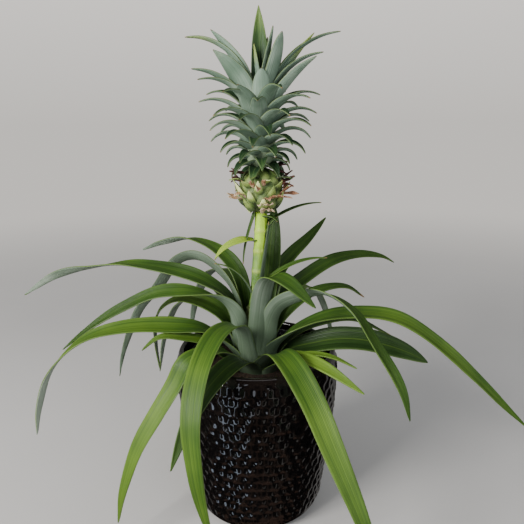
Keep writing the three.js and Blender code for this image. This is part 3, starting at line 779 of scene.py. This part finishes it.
def compost():
    hole = stem_radius(SOIL_HEIGHT) + 0.6
    bottom = NURSERY_BOTTOM + 2.3
    rims = [nursery_bore(SOIL_HEIGHT - 1) - 0.5 - i for i in range(0, 34, 2)]
    outline = [(0, bottom), (nursery_bore(bottom) - 0.3, bottom)]
    outline += [(rims[0], SOIL_HEIGHT - 3)] + [(r, SOIL_HEIGHT) for r in rims if r > hole + 1]
    outline += [(hole, SOIL_HEIGHT - 1), (hole, STEM_BOTTOM - 0.3), (0, STEM_BOTTOM - 0.3)]
    bm = turned(outline, 120)
    tone_layer = bm.verts.layers.float.new("tone")
    for vert in bm.verts:
        if vert.co.z > SOIL_HEIGHT - 0.5:
            vert.co.z += 1.6 * noise.noise(vert.co * 0.09) + 0.9 * noise.noise(vert.co * 0.4)
    for n in range(CRUMBS):
        reach = lerp(hole + 2, rims[0] - 1.5, math.sqrt(abs(draw(n, 1))))
        azimuth = math.pi * draw(n, 2)
        size = 0.8 + 0.9 * abs(draw(n, 3)) ** 2
        place = Matrix.Translation(around(azimuth, reach, SOIL_HEIGHT + 0.4))
        shape = Matrix.Diagonal((size, size * 0.7, size * 0.5, 1))
        spun = Matrix.Rotation(math.pi * draw(n, 4), 4, "Z") @ Matrix.Rotation(draw(n, 5), 4, "X")
        made = bmesh.ops.create_icosphere(bm, subdivisions=1, radius=1.4, matrix=place @ spun @ shape)
        for vert in made["verts"]:
            vert[tone_layer] = 1.0 if n % PERLITE_EVERY == 0 else 0.0
    return bm


SOIL = soil_finish()
soil = finish_piece(compost(), "compost", [SOIL], ["potting_soil"])
print("compost:", len(soil.data.polygons), "faces")

# %% [markdown]
# ## The stem
# The short stem that carries the leaves is nearly hidden by their bases. Its solid already has the
# right shape, so it stays and only gets a finish: pale green above, brown and corky near the soil.

# %% Finish the stem
def stem_finish():
    material, tree = new_finish("stem")
    place = wire(tree, "TexCoord").outputs["Object"]
    clouds = clouds_of(tree, 60.0)
    height = wire(tree, "SeparateXYZ", {0: place}).outputs[2]
    corky = remap(tree, height, 0.128, 0.160, 0.8, 0.15)
    corky = math_node(tree, "MULTIPLY_ADD", clouds["Cloud"], 0.4, math_node(tree, "SUBTRACT", corky, 0.2))
    colour = mix_colours(tree, corky, (0.12, 0.17, 0.05, 1), (0.075, 0.045, 0.022, 1))
    return shade(material, colour, (clouds["Grain"], 0.55, 0.8), (clouds["Grain"], 0.5, 0.0008))


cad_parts["stem"].data.materials.clear()
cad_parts["stem"].data.materials.append(stem_finish())
print("stem finished")

# %% [markdown]
# ## The fruit's stalk
# The stalk is round and juicy, with a faint ring at each joint and a few narrow bracts, one of which
# lies close against it. It is bright yellow-green where it is young, under the fruit, and this band
# is made brighter still as painted light. It has a mealy bloom further down. It is turned from an
# outline with a swelling at each joint, then leant a little to the right with the fruit and the
# crown, because no plant grows quite straight.

# %% Make the stalk
PLANT_LEAN = 4.5
FRUIT_BOTTOM = 262
FRUIT_TOP = 297
FRUIT_RADIUS = 16
STALK_RADIUS = 5
STALK_JOINTS = (196, 212, 229, 246)
# height, azimuth, launch, droop, length, width, roll, tone
STALK_BRACTS = [
    (192, 196, 66, 8, 46, 6, 0, 0.5), (200, 8, 42, -8, 60, 7, 20, 0.6),
    (251, 16, 34, -4, 52, 5, 20, 0.3), (214, 95, 62, -30, 44, 6, 0, 0.5),
    (237, 202, 16, -68, 40, 9, -40, 1.5), (238, 345, 84, 40, 22, 6, 0, 0.3),
    (252, 60, 30, -60, 24, 6, 0, 0.4), (261, 198, -68, -92, 44, 6.5, 0, 0.3),
    (194, 325, 87, 87, 60, 7, 0, 0.3), (257, 320, 20, -50, 14, 7, 0, 0.3),
]


def lean(bm):
    for vert in bm.verts:
        vert.co.x += PLANT_LEAN * smoothstep(vert.co.z, STEM_TOP, FRUIT_BOTTOM)


def arched(start, azimuth, launch, droop, length, bend=1.3, steps=8):
    """A line that leaves at one slope and ends at another, in degrees up."""
    points = [start]
    for i in range(steps):
        slope = math.radians(lerp(launch, droop, ((i + 0.5) / steps) ** bend))
        run = length / steps * math.cos(slope)
        points.append(points[-1] + around(azimuth, run, length / steps * math.sin(slope)))
    return Line(spline(points, 4))


def stalk_finish():
    material, tree = new_finish("stalk")
    place = wire(tree, "TexCoord").outputs["Object"]
    clouds = clouds_of(tree, 55.0)
    stretched = wire(tree, "Mapping", {"Vector": place, "Scale": (1, 1, 0.12)})
    fibres = noise_value(tree, stretched.outputs[0], 900.0, 3.0)
    tone = math_node(tree, "MULTIPLY_ADD", clouds["Cloud"], 0.5, math_node(tree, "MULTIPLY", fibres, 0.6))
    colour = ramp(tree, tone, [(0.25, (0.03, 0.085, 0.012)), (0.5, (0.10, 0.22, 0.02)),
                               (0.8, (0.28, 0.48, 0.06))])
    height = wire(tree, "SeparateXYZ", {0: place}).outputs[2]
    # Bright yellow-green above this height: the young stalk's own colour, made brighter as painted light.
    pale = remap(tree, height, 0.224, 0.236, 0.0, 0.8)
    colour = mix_colours(tree, pale, colour, (0.55, 0.88, 0.05, 1))
    joint = remap(tree, attribute(tree, "tone"), 0, 1, 0, 0.6)
    colour = mix_colours(tree, joint, colour, (0.5, 0.6, 0.12, 1))
    lower = remap(tree, height, 0.23, 0.224, 0.0, 0.4)
    mealy = math_node(tree, "MULTIPLY", remap(tree, clouds["Grain"], 0.35, 0.75), lower)
    colour = mix_colours(tree, mealy, colour, (0.24, 0.34, 0.19, 1))
    return shade(material, colour, (clouds["Grain"], 0.34, 0.5), (fibres, 0.4, 0.0008))


def stalk():
    heights = [STEM_TOP + 0.3 + i for i in range(int(FRUIT_BOTTOM - STEM_TOP))]
    outline = [(0, heights[0])]
    for height in heights:
        joint = max(math.exp(-((height - ring) / 1.6) ** 2) for ring in STALK_JOINTS)
        radius = STALK_RADIUS + 1.5 * (1 - smoothstep(height, STEM_TOP, 192)) + 0.45 * joint
        outline.append((radius, height))
    outline.append((0, heights[-1]))
    bm = turned(outline, 32)
    tone_layer = bm.verts.layers.float.new("tone")
    for vert in bm.verts:
        vert[tone_layer] = max(math.exp(-((vert.co.z - ring) / 1.5) ** 2) for ring in STALK_JOINTS)
        ribs = 1 + 0.03 * math.sin(7 * math.atan2(vert.co.y, vert.co.x) + vert.co.z * 0.03)
        vert.co.x *= ribs
        vert.co.y *= ribs
    lean(bm)
    return bm


def bract_half_width(t, width):
    return max(width / 2 * (1.2 - 0.2 * smoothstep(t, 0, 0.2)) * (1 - t ** 2.2) ** 0.9, 0.15)


def stalk_bracts():
    bm = new_strips()
    for height, azimuth, launch, droop, length, width, roll, tone in STALK_BRACTS:
        turned_to = math.radians(azimuth)
        start = around(turned_to, STALK_RADIUS - 0.5, height)
        add_strip(bm, arched(start, turned_to, launch, droop, length), {
            "azimuth": lambda t: azimuth,
            "half_width": lambda t: bract_half_width(t, width),
            "roll": lambda t: roll * smoothstep(t, 0, 0.4),
            "curl": lambda t: lerp(55, 20, t),
            "tone": lambda t: tone,
            "dry": lambda t: 0.7 * smoothstep(t, 0.9, 1),
        }, across=4, along=16)
    lean(bm)
    return bm


stalk_piece = finish_piece(stalk(), "bare_stalk", [stalk_finish()], ["fruit_stalk"])
bract_piece = finish_piece(stalk_bracts(), "stalk_bracts", [LEAF_UPPER, LEAF_UNDERSIDE])
thicken(bract_piece, 0.9)
print("stalk:", len(stalk_piece.data.polygons), "faces, with", len(STALK_BRACTS), "bracts")

# %% [markdown]
# ## The fruit
# A pineapple is many small fruits grown together. Each shows as an eye, a swollen cushion with a
# bract under it and, in a young fruit, the dried flower on it. The eyes are set by the golden
# angle, the turn from one to the next that plants use. The body is turned, then each of its points
# is pushed out by the eye that is nearest to it, which leaves sharp furrows between the eyes.

# %% Make the fruit
GOLDEN_ANGLE = math.radians(137.508)
EYES = 34
FRUIT_RINGS = 56
EYE_REACH = 6.8
EYE_SWELL = 2.4
# azimuth, height, length, tone of the dried flowers that hang on longest
DRIED_FLOWERS = [(206, 272, 13, 0.85), (264, 282, 10, 0.7), (300, 273, 10, 0.65), (336, 274, 15, 0.6),
                 (348, 284, 13, 0.1), (195, 291, 12, 0.02), (282, 266, 9, 1.0), (290, 261, 11, 1.0),
                 (352, 294, 13, 0.0), (186, 285, 9, 0.05), (20, 279, 9, 0.4), (95, 281, 9, 0.7),
                 (140, 274, 8, 0.5), (60, 287, 7, 0.2)]


def fruit_radius(height):
    t = min(max((height - FRUIT_BOTTOM) / (FRUIT_TOP - FRUIT_BOTTOM), 0), 1)
    return FRUIT_RADIUS * (1 - (abs(2 * t - 0.95) / 1.08) ** 3) ** 0.6


def eye_place(n):
    """The angle and the height of the n-th eye, counted up the fruit."""
    return GOLDEN_ANGLE * n + 0.6, lerp(FRUIT_BOTTOM + 3, FRUIT_TOP - 1, (n + 0.5) / EYES)


eye_places = [eye_place(n) for n in range(EYES)]


def eye_swell(angle, height):
    """How far a point of the fruit is pushed out, from 0 in a furrow to 1 on an eye."""
    best = 0.0
    for eye_angle, eye_height in eye_places:
        aside = (angle - eye_angle + math.pi) % (2 * math.pi) - math.pi
        gap = math.hypot(aside * FRUIT_RADIUS * 0.92, height - eye_height)
        best = max(best, 1 - (gap / EYE_REACH) ** 2)
    return best


def fruit_finish():
    material, tree = new_finish("fruit skin")
    clouds = clouds_of(tree, 80.0)
    swell = attribute(tree, "tone")
    # The colour follows the swell of the eyes: lighter green on the eyes, and darker down in the furrows,
    # which is painted shade.
    tone = math_node(tree, "MULTIPLY_ADD", clouds["Grain"], 0.2, math_node(tree, "MULTIPLY", swell, 0.85))
    colour = ramp(tree, tone, [(0.1, (0.02, 0.028, 0.01)), (0.3, (0.045, 0.08, 0.018)),
                               (0.6, (0.10, 0.17, 0.035)), (0.95, (0.25, 0.33, 0.09))])
    tinge = remap(tree, clouds["Cloud"], 0.5, 1.0, 0.0, 0.5)
    colour = mix_colours(tree, tinge, colour, (0.16, 0.2, 0.09, 1))
    return shade(material, colour, (clouds["Grain"], 0.42, 0.62), (clouds["Grain"], 0.35, 0.0006))


def dried_finish():
    material, tree = new_finish("dried flower")
    clouds = clouds_of(tree, 160.0)
    tone = math_node(tree, "MULTIPLY_ADD", clouds["Grain"], 0.4, math_node(
        tree, "SUBTRACT", attribute(tree, "tone"), 0.2))
    colour = ramp(tree, tone, [(0.05, (0.055, 0.012, 0.012)), (0.4, (0.26, 0.10, 0.05)),
                               (0.7, (0.5, 0.27, 0.15)), (0.95, (0.68, 0.52, 0.36))])
    return shade(material, colour, (clouds["Cloud"], 0.6, 0.85), (clouds["Grain"], 0.6, 0.0008))


def fruit_body():
    heights = [lerp(FRUIT_BOTTOM, FRUIT_TOP, i / FRUIT_RINGS) for i in range(FRUIT_RINGS + 1)]
    outline = [(0, FRUIT_BOTTOM)] + [(fruit_radius(h), h) for h in heights] + [(0, FRUIT_TOP)]
    bm = turned(outline, 120)
    tone_layer = bm.verts.layers.float.new("tone")
    for vert in bm.verts:
        swell = eye_swell(math.atan2(vert.co.y, vert.co.x), vert.co.z)
        vert[tone_layer] = max(swell, 0)
        reach = math.hypot(vert.co.x, vert.co.y)
        if reach > 1:
            pushed = 1 + (EYE_SWELL * (swell - 0.35)) * min(reach / FRUIT_RADIUS, 1) / reach
            vert.co.x *= pushed
            vert.co.y *= pushed
    lean(bm)
    return bm


def bract_finish():
    material, tree = new_finish("fruit bract")
    veins = veins_of(tree, 6.0)
    clouds = clouds_of(tree, 70.0)
    tone = math_node(tree, "MULTIPLY_ADD", clouds["Cloud"], 0.35, math_node(
        tree, "SUBTRACT", attribute(tree, "tone"), 0.15))
    green = ramp(tree, tone, [(0.05, (0.022, 0.045, 0.016)), (0.35, (0.09, 0.15, 0.035)),
                              (0.65, (0.30, 0.42, 0.08)), (0.95, (0.75, 0.83, 0.36))])
    lines = remap(tree, veins["Vein"], 0.6, 1.0, 0.0, 0.25)
    green = mix_colours(tree, lines, green, (0.5, 0.56, 0.36, 1))
    colour = mix_colours(tree, dryness(tree, clouds["Grain"]), green, (0.2, 0.1, 0.05, 1))
    return shade(material, colour, (clouds["Grain"], 0.45, 0.62), (veins["Vein"], 0.4, 0.0005))


def fruit_bracts():
    bm = new_strips()
    for n, (angle, height) in enumerate(eye_places):
        rise = (height - FRUIT_BOTTOM) / (FRUIT_TOP - FRUIT_BOTTOM)
        start = around(angle, fruit_radius(height - 5) + 0.3, height - 6.5)
        outward = 10 * draw(n, 5)
        length = 12.5 + 2 * draw(n, 6)
        width = 11 + 1.5 * draw(n, 7)
        tip = lerp(80, -30, smoothstep(rise, 0.6, 0.95)) + outward
        # The tone falls with height and varies at random, and bracts on the side away from the window lamp
        # are made darker: painted shade.
        root_tone_and_shade = 0.48 - 0.5 * rise + 0.3 * draw(n, 8) - 0.2 * max(math.cos(angle), 0)
        add_strip(bm, arched(start, angle, 36, tip, length, 0.8, 6), {
            "azimuth": lambda t: math.degrees(angle),
            "half_width": lambda t: max(width / 2 * (1 - t ** 1.3) * (0.9 + 0.3 * t), 0.15),
            "curl": lambda t: lerp(50, 40, t),
            "wave": lambda u, t: 0.25 * math.sin(9 * t + n) * u,
            "tone": lambda t: root_tone_and_shade + 0.45 * smoothstep(t, 0.1, 0.6),
            "dry": lambda t: 0.8 * smoothstep(t, 0.8, 1) if draw(n, 9) > 0 else 0.0,
        }, across=6, along=10)
    lean(bm)
    return bm


def dried_flowers():
    bm = new_strips()
    for n, (azimuth, height, length, tone) in enumerate(DRIED_FLOWERS):
        for petal in range(3):
            angle = math.radians(azimuth + 14 * (petal - 1))
            start = around(angle, fruit_radius(height) + 0.5, height + 0.8 * petal)
            turned_by = 70 * draw(n, petal + 1)
            launch = 30 + 25 * draw(n, petal + 4)
            droop = -50 * draw(n, petal + 7)
            add_strip(bm, arched(start, angle, launch, droop, length), {
                "azimuth": lambda t: math.degrees(angle),
                "half_width": lambda t: max(3.6 * (1 - t ** 2.4) * (0.45 + 0.9 * t), 0.2),
                "roll": lambda t: turned_by * t,
                "curl": lambda t: 75 * (1 - 0.5 * t),
                "wave": lambda u, t: 0.35 * math.sin(14 * t + 2 * n + petal) * u,
                "tone": lambda t: tone + 0.15 * math.sin(8 * t),
            }, across=4, along=10)
    lean(bm)
    return bm


DRIED = dried_finish()
finish_piece(fruit_body(), "young_fruit", [fruit_finish()], ["fruit"])
BRACT = bract_finish()
fruit_bract_piece = finish_piece(fruit_bracts(), "fruit_bracts", [BRACT, BRACT])
thicken(fruit_bract_piece, 0.7)
flower_piece = finish_piece(dried_flowers(), "dried_flowers", [DRIED, DRIED])
thicken(flower_piece, 0.5)
print("fruit:", EYES, "eyes,", len(DRIED_FLOWERS), "dried flowers")

# %% [markdown]
# ## The crown
# The crown is a second rosette that grows out of the top of the fruit. Its leaves are short and
# keep to a strict order: each next leaf comes one golden angle round and a little higher. The low
# ones are small and curl right down, the middle ones spread, and the top ones stand up in a tuft.
# A table of tiers says how leaves leave the core and how they end, and all others lie in between.
# The leaves of the tuft stand too freely for such a rule, so a second table places each of them.

# %% Make the crown
CROWN_BOTTOM, CROWN_TOP = FRUIT_TOP + 0.3, 359
CROWN_LEAVES = 56
CROWN_TURN = 200
# rise, launch, droop, length, width
CROWN_TIERS = [(0.00, -15, -95, 15, 12), (0.18, 20, -84, 23, 14), (0.42, 46, -60, 34, 16),
               (0.66, 58, -45, 44, 17), (1.00, 62, -18, 58, 17)]
# The top leaves of the tuft, and how far below them its lowest ones leave the core
TUFT_TOP = 353
TUFT_DEPTH = 27
# The tuft: azimuth, height, launch, droop, length, width, roll, tone, blunt
CROWN_TUFT = [
    (95, 353, 89, 84, 65, 16, 0, 0.8, 3.0), (215, 350, 86, 84, 40, 8, 0, 0.8, 2.8),
    (334, 341, 67, 86, 59, 22, -5, 0.22, 5.0), (338, 350, 78, 82, 53, 13, 0, 0.22, 3.4),
    (40, 350, 84, 78, 46, 11, -20, 0.4, 3.4), (172, 346, 66, 44, 66, 16, 45, 0.22, 3.4),
    (208, 332, 72, 34, 63, 23, 30, 0.22, 3.4), (168, 347, 70, -4, 82, 14, 15, 0.6, 3.4),
    (8, 348, 62, 6, 84, 12, -10, 0.22, 3.4), (6, 343, 60, 46, 68, 10, -45, 1.0, 3.0),
    (25, 346, 62, 26, 70, 12, -30, 0.5, 3.4), (342, 333, 62, 30, 62, 15, -25, 0.22, 3.4),
    (355, 340, 68, 6, 66, 13, -10, 0.22, 3.4), (276, 318, 78, 89, 54, 17, 0, 0.15, 6.0),
    (186, 331, 66, 2, 66, 15, 15, 0.3, 3.4), (75, 340, 74, 40, 58, 16, 0, 0.22, 3.4),
    (130, 336, 68, 20, 64, 16, 0, 0.22, 3.4), (244, 325, 62, 26, 46, 19, 10, 0.22, 3.4),
]


def crown_tier(rise):
    """Launch, droop, length and width of a crown leaf, between the two tiers around it."""
    for below, above in zip(CROWN_TIERS, CROWN_TIERS[1:]):
        if rise <= above[0]:
            t = (rise - below[0]) / (above[0] - below[0])
            return [lerp(a, b, t) for a, b in zip(below[1:], above[1:])]


def crown_underside(name):
    material, tree = new_finish(name)
    veins = veins_of(tree, 7.0)
    clouds = clouds_of(tree, 45.0)
    tone = math_node(tree, "MULTIPLY_ADD", veins["Streak"], 0.35, math_node(
        tree, "MULTIPLY", clouds["Cloud"], 0.5))
    bloomed = ramp(tree, tone, [(0.1, (0.10, 0.18, 0.115)), (0.5, (0.205, 0.305, 0.22)),
                                (0.9, (0.41, 0.52, 0.415))])
    # A high tone turns the underside yellow-green: partly the young leaf's own colour, and made bright as
    # painted light shining through the leaf.
    fresh = math_node(tree, "MULTIPLY_ADD", clouds["Cloud"], 0.2, attribute(tree, "tone"))
    colour = mix_colours(tree, remap(tree, fresh, 0.35, 0.9), bloomed, (0.30, 0.40, 0.085, 1))
    across = from_middle(tree)
    colour = mix_colours(tree, remap(tree, across, 0.44, 0.495, 0.0, 0.5), colour, (0.3, 0.36, 0.2, 1))
    colour = mix_colours(tree, dryness(tree, clouds["Grain"]), colour, (0.07, 0.055, 0.03, 1))
    return shade(material, colour, (clouds["Grain"], 0.5, 0.65), (veins["Vein"], 0.3, 0.0004))


def crown_core():
    outline = [(0, CROWN_BOTTOM), (8, CROWN_BOTTOM), (11, CROWN_BOTTOM + 5), (9, CROWN_BOTTOM + 40),
               (4, CROWN_TOP), (0, CROWN_TOP)]
    bm = turned(outline, 24)
    bm.verts.layers.float.new("tone")
    lean(bm)
    return bm


def crown_half_width(t, width, blunt):
    base = 0.85 + 0.15 * smoothstep(t, 0, 0.2)
    return max(width / 2 * base * (1 - t ** blunt) ** min(1.05, 3.6 / blunt), 0.15)


def crown_leaf(bm, azimuth, height, reach, launch, droop, length, width, roll, tone, blunt):
    start = around(azimuth, reach, height)
    add_strip(bm, arched(start, azimuth, launch, droop, length, 1.5), {
        "azimuth": lambda t: math.degrees(azimuth),
        "half_width": lambda t: crown_half_width(t, width, blunt),
        "roll": lambda t: roll * smoothstep(t, 0, 0.5),
        "curl": lambda t: lerp(60, 30, t),
        "tone": lambda t: tone * smoothstep(t, 0.35, 0.95) + 0.2 * smoothstep(t, 0.2, 0),
        "dry": lambda t: 0.5 * smoothstep(t, 0.95, 1),
    }, across=6, along=14)


def crown_leaves():
    bm = new_strips()
    for n in range(CROWN_LEAVES):
        rise = n / (CROWN_LEAVES - 1)
        azimuth = GOLDEN_ANGLE * n + math.radians(CROWN_TURN)
        launch, droop, length, width = crown_tier(rise)
        height = lerp(CROWN_BOTTOM - 1, CROWN_TOP - 26, rise ** 1.15)
        tone = (0.8 if n % 8 == 3 else 0.3) * (1 - rise) ** 3
        crown_leaf(bm, azimuth, height, lerp(8, 5, rise), launch + 4 * draw(n, 1), droop + 8 * draw(n, 2),
                   length + 3 * draw(n, 3), width, 8 * draw(n, 4), tone, lerp(1.7, 2.4, rise))
    for azimuth, height, *shape in CROWN_TUFT:
        reach = lerp(1, 6, (TUFT_TOP - height) / TUFT_DEPTH)
        crown_leaf(bm, math.radians(azimuth), height, reach, *shape)
    lean(bm)
    return bm


CROWN_UPPER = leaf_upper("crown upper side", (0.014, 0.04, 0.014), (0.045, 0.105, 0.022),
                         (0.20, 0.31, 0.065), (0.26, 0.34, 0.13))
CROWN_UNDER = crown_underside("crown underside")
finish_piece(crown_core(), "crown_core", [CROWN_UNDER], ["crown"])
crown = finish_piece(crown_leaves(), "crown_leaves", [CROWN_UPPER, CROWN_UNDER])
thicken(crown, 1.1)
crown_faces = len(crown.data.polygons)
print("crown:", CROWN_LEAVES + len(CROWN_TUFT), "leaves,", crown_faces, "faces before rounding")

# %% [markdown]
# ## Floor and light
# A glossy black pot shows the room more than itself, so the room exists twice. A soft lamp high on
# the left, like a window, and a weaker one on the right light the plant, and the world fills the
# shadows. The glaze mirrors a dark room of its own, which only mirror rays meet: a few patches of
# cool window light, the warm ground in front of the pot, and a grey back wall. The pale floor
# fades into the tone of the backdrop, so no line of a horizon cuts the picture.

# %% Make the floor and the lamps
FLOOR_SIZE = 20
HORIZON_TONE = (0.73, 0.70, 0.66, 1)
ROOM_TONE = (0.98, 0.94, 0.89, 1)


def stage_finish():
    material, tree = new_finish("pale floor")
    place = wire(tree, "TexCoord").outputs["Object"]
    clouds = clouds_of(tree, 3.0)
    colour = mix_colours(tree, clouds["Cloud"], (0.56, 0.545, 0.525, 1), (0.6, 0.585, 0.565, 1))
    roughness = remap(tree, clouds["Grain"], 0, 1, 0.85, 0.95)
    near = wire(tree, "BsdfPrincipled", {"Base Color": colour, "Roughness": roughness})
    far = wire(tree, "Emission", {"Color": HORIZON_TONE})
    distance = wire(tree, "VectorMath", {0: place}, operation="LENGTH").outputs["Value"]
    fade = {"Value": distance, "From Min": 0.4, "From Max": 1.9}
    blend = wire(tree, "MapRange", fade, interpolation_type="SMOOTHSTEP").outputs["Result"]
    mixed = wire(tree, "MixShader", {0: blend, 1: near.outputs[0], 2: far.outputs[0]})
    wire(tree, "OutputMaterial", {"Surface": mixed.outputs[0]})
    return material


floor_bm = bmesh.new()
bmesh.ops.create_grid(floor_bm, x_segments=1, y_segments=1, size=FLOOR_SIZE)
floor_mesh = bpy.data.meshes.new("floor")
floor_bm.to_mesh(floor_mesh)
floor_bm.free()
floor_mesh.materials.append(stage_finish())
floor = bpy.data.objects.new("floor", floor_mesh)
bpy.context.scene.collection.objects.link(floor)
floor.visible_glossy = False


def soft_lamp(name, place, wide, tall, power, colour):
    """A rectangular lamp that faces the middle of the plant."""
    data = bpy.data.lights.new(name, "AREA")
    data.shape = "RECTANGLE"
    data.size = wide
    data.size_y = tall
    data.energy = power
    data.color = colour
    lamp = bpy.data.objects.new(name, data)
    facing = (Vector((0, 0, 0.2)) - Vector(place)).to_track_quat("-Z", "Y")
    lamp.matrix_world = Matrix.Translation(place) @ facing.to_matrix().to_4x4()
    bpy.context.scene.collection.objects.link(lamp)


soft_lamp("window", (-0.85, -0.8, 0.75), 0.5, 0.5, 23, (1.0, 0.98, 0.95))
soft_lamp("fill", (0.9, -0.9, 0.7), 0.7, 0.7, 4, (0.92, 0.96, 1.0))

# Patches of the room that only the glaze mirrors: turn from the front and rise in degrees, how far
# each reaches to its sides and up and down, and its colour
ROOM_PATCHES = [
    (6, -38, 6, 26, (0.10, 0.068, 0.052)),
    (0, -76, 90, 16, (0.13, 0.08, 0.06)),
    (0, 38, 60, 5, (1.5, 1.5, 1.55)),
    (-41, -24, 3, 20, (1.7, 2.0, 2.4)),
    (-22, -14, 2, 12, (1.2, 1.3, 1.45)),
    (30, -24, 2, 22, (0.5, 0.47, 0.43)),
    (-75, 4, 6, 8, (2.2, 2.5, 2.9)),
    (62, 6, 5, 8, (0.8, 0.8, 0.8)),
    (180, 10, 60, 60, (0.14, 0.135, 0.13)),
]
world = bpy.data.worlds.new("pale room")
world.use_nodes = True
bpy.context.scene.world = world
room = world.node_tree
room.nodes.clear()
toward = wire(room, "SeparateXYZ", {0: wire(room, "TexCoord").outputs["Generated"]}).outputs
turn_there = math_node(room, "ARCTAN2", toward[0], math_node(room, "MULTIPLY", toward[1], -1.0))
rise_there = math_node(room, "ARCSINE", toward[2])
glassy = (0.006, 0.005, 0.005, 1)
for patch_turn, patch_rise, reach_aside, reach_up, colour in ROOM_PATCHES:
    aside = math_node(room, "SUBTRACT", turn_there, math.radians(patch_turn))
    aside = math_node(room, "ABSOLUTE", math_node(room, "WRAP", aside, math.pi, -math.pi))
    above = math_node(room, "ABSOLUTE", math_node(room, "SUBTRACT", rise_there, math.radians(patch_rise)))
    inside = math_node(
        room, "MULTIPLY", remap(room, aside, math.radians(reach_aside + 2), math.radians(reach_aside)),
        remap(room, above, math.radians(reach_up + 2), math.radians(reach_up)))
    glassy = mix_colours(room, inside, glassy, (*colour, 1))
backdrop = mix_colours(room, remap(room, toward[2], 0.0, 0.22), HORIZON_TONE, ROOM_TONE)
seen = wire(room, "Background", {"Color": backdrop})
felt = wire(room, "Background", {"Color": (0.55, 0.56, 0.58, 1), "Strength": 0.8})
mirrored = wire(room, "Background", {"Color": glassy})
ray = wire(room, "LightPath").outputs
unseen = wire(room, "MixShader", {0: ray["Is Glossy Ray"], 1: felt.outputs[0], 2: mirrored.outputs[0]})
mixed = wire(room, "MixShader", {0: ray["Is Camera Ray"], 1: unseen.outputs[0], 2: seen.outputs[0]})
wire(room, "OutputWorld", {"Surface": mixed.outputs[0]})
print("stage: floor, two lamps and the world")
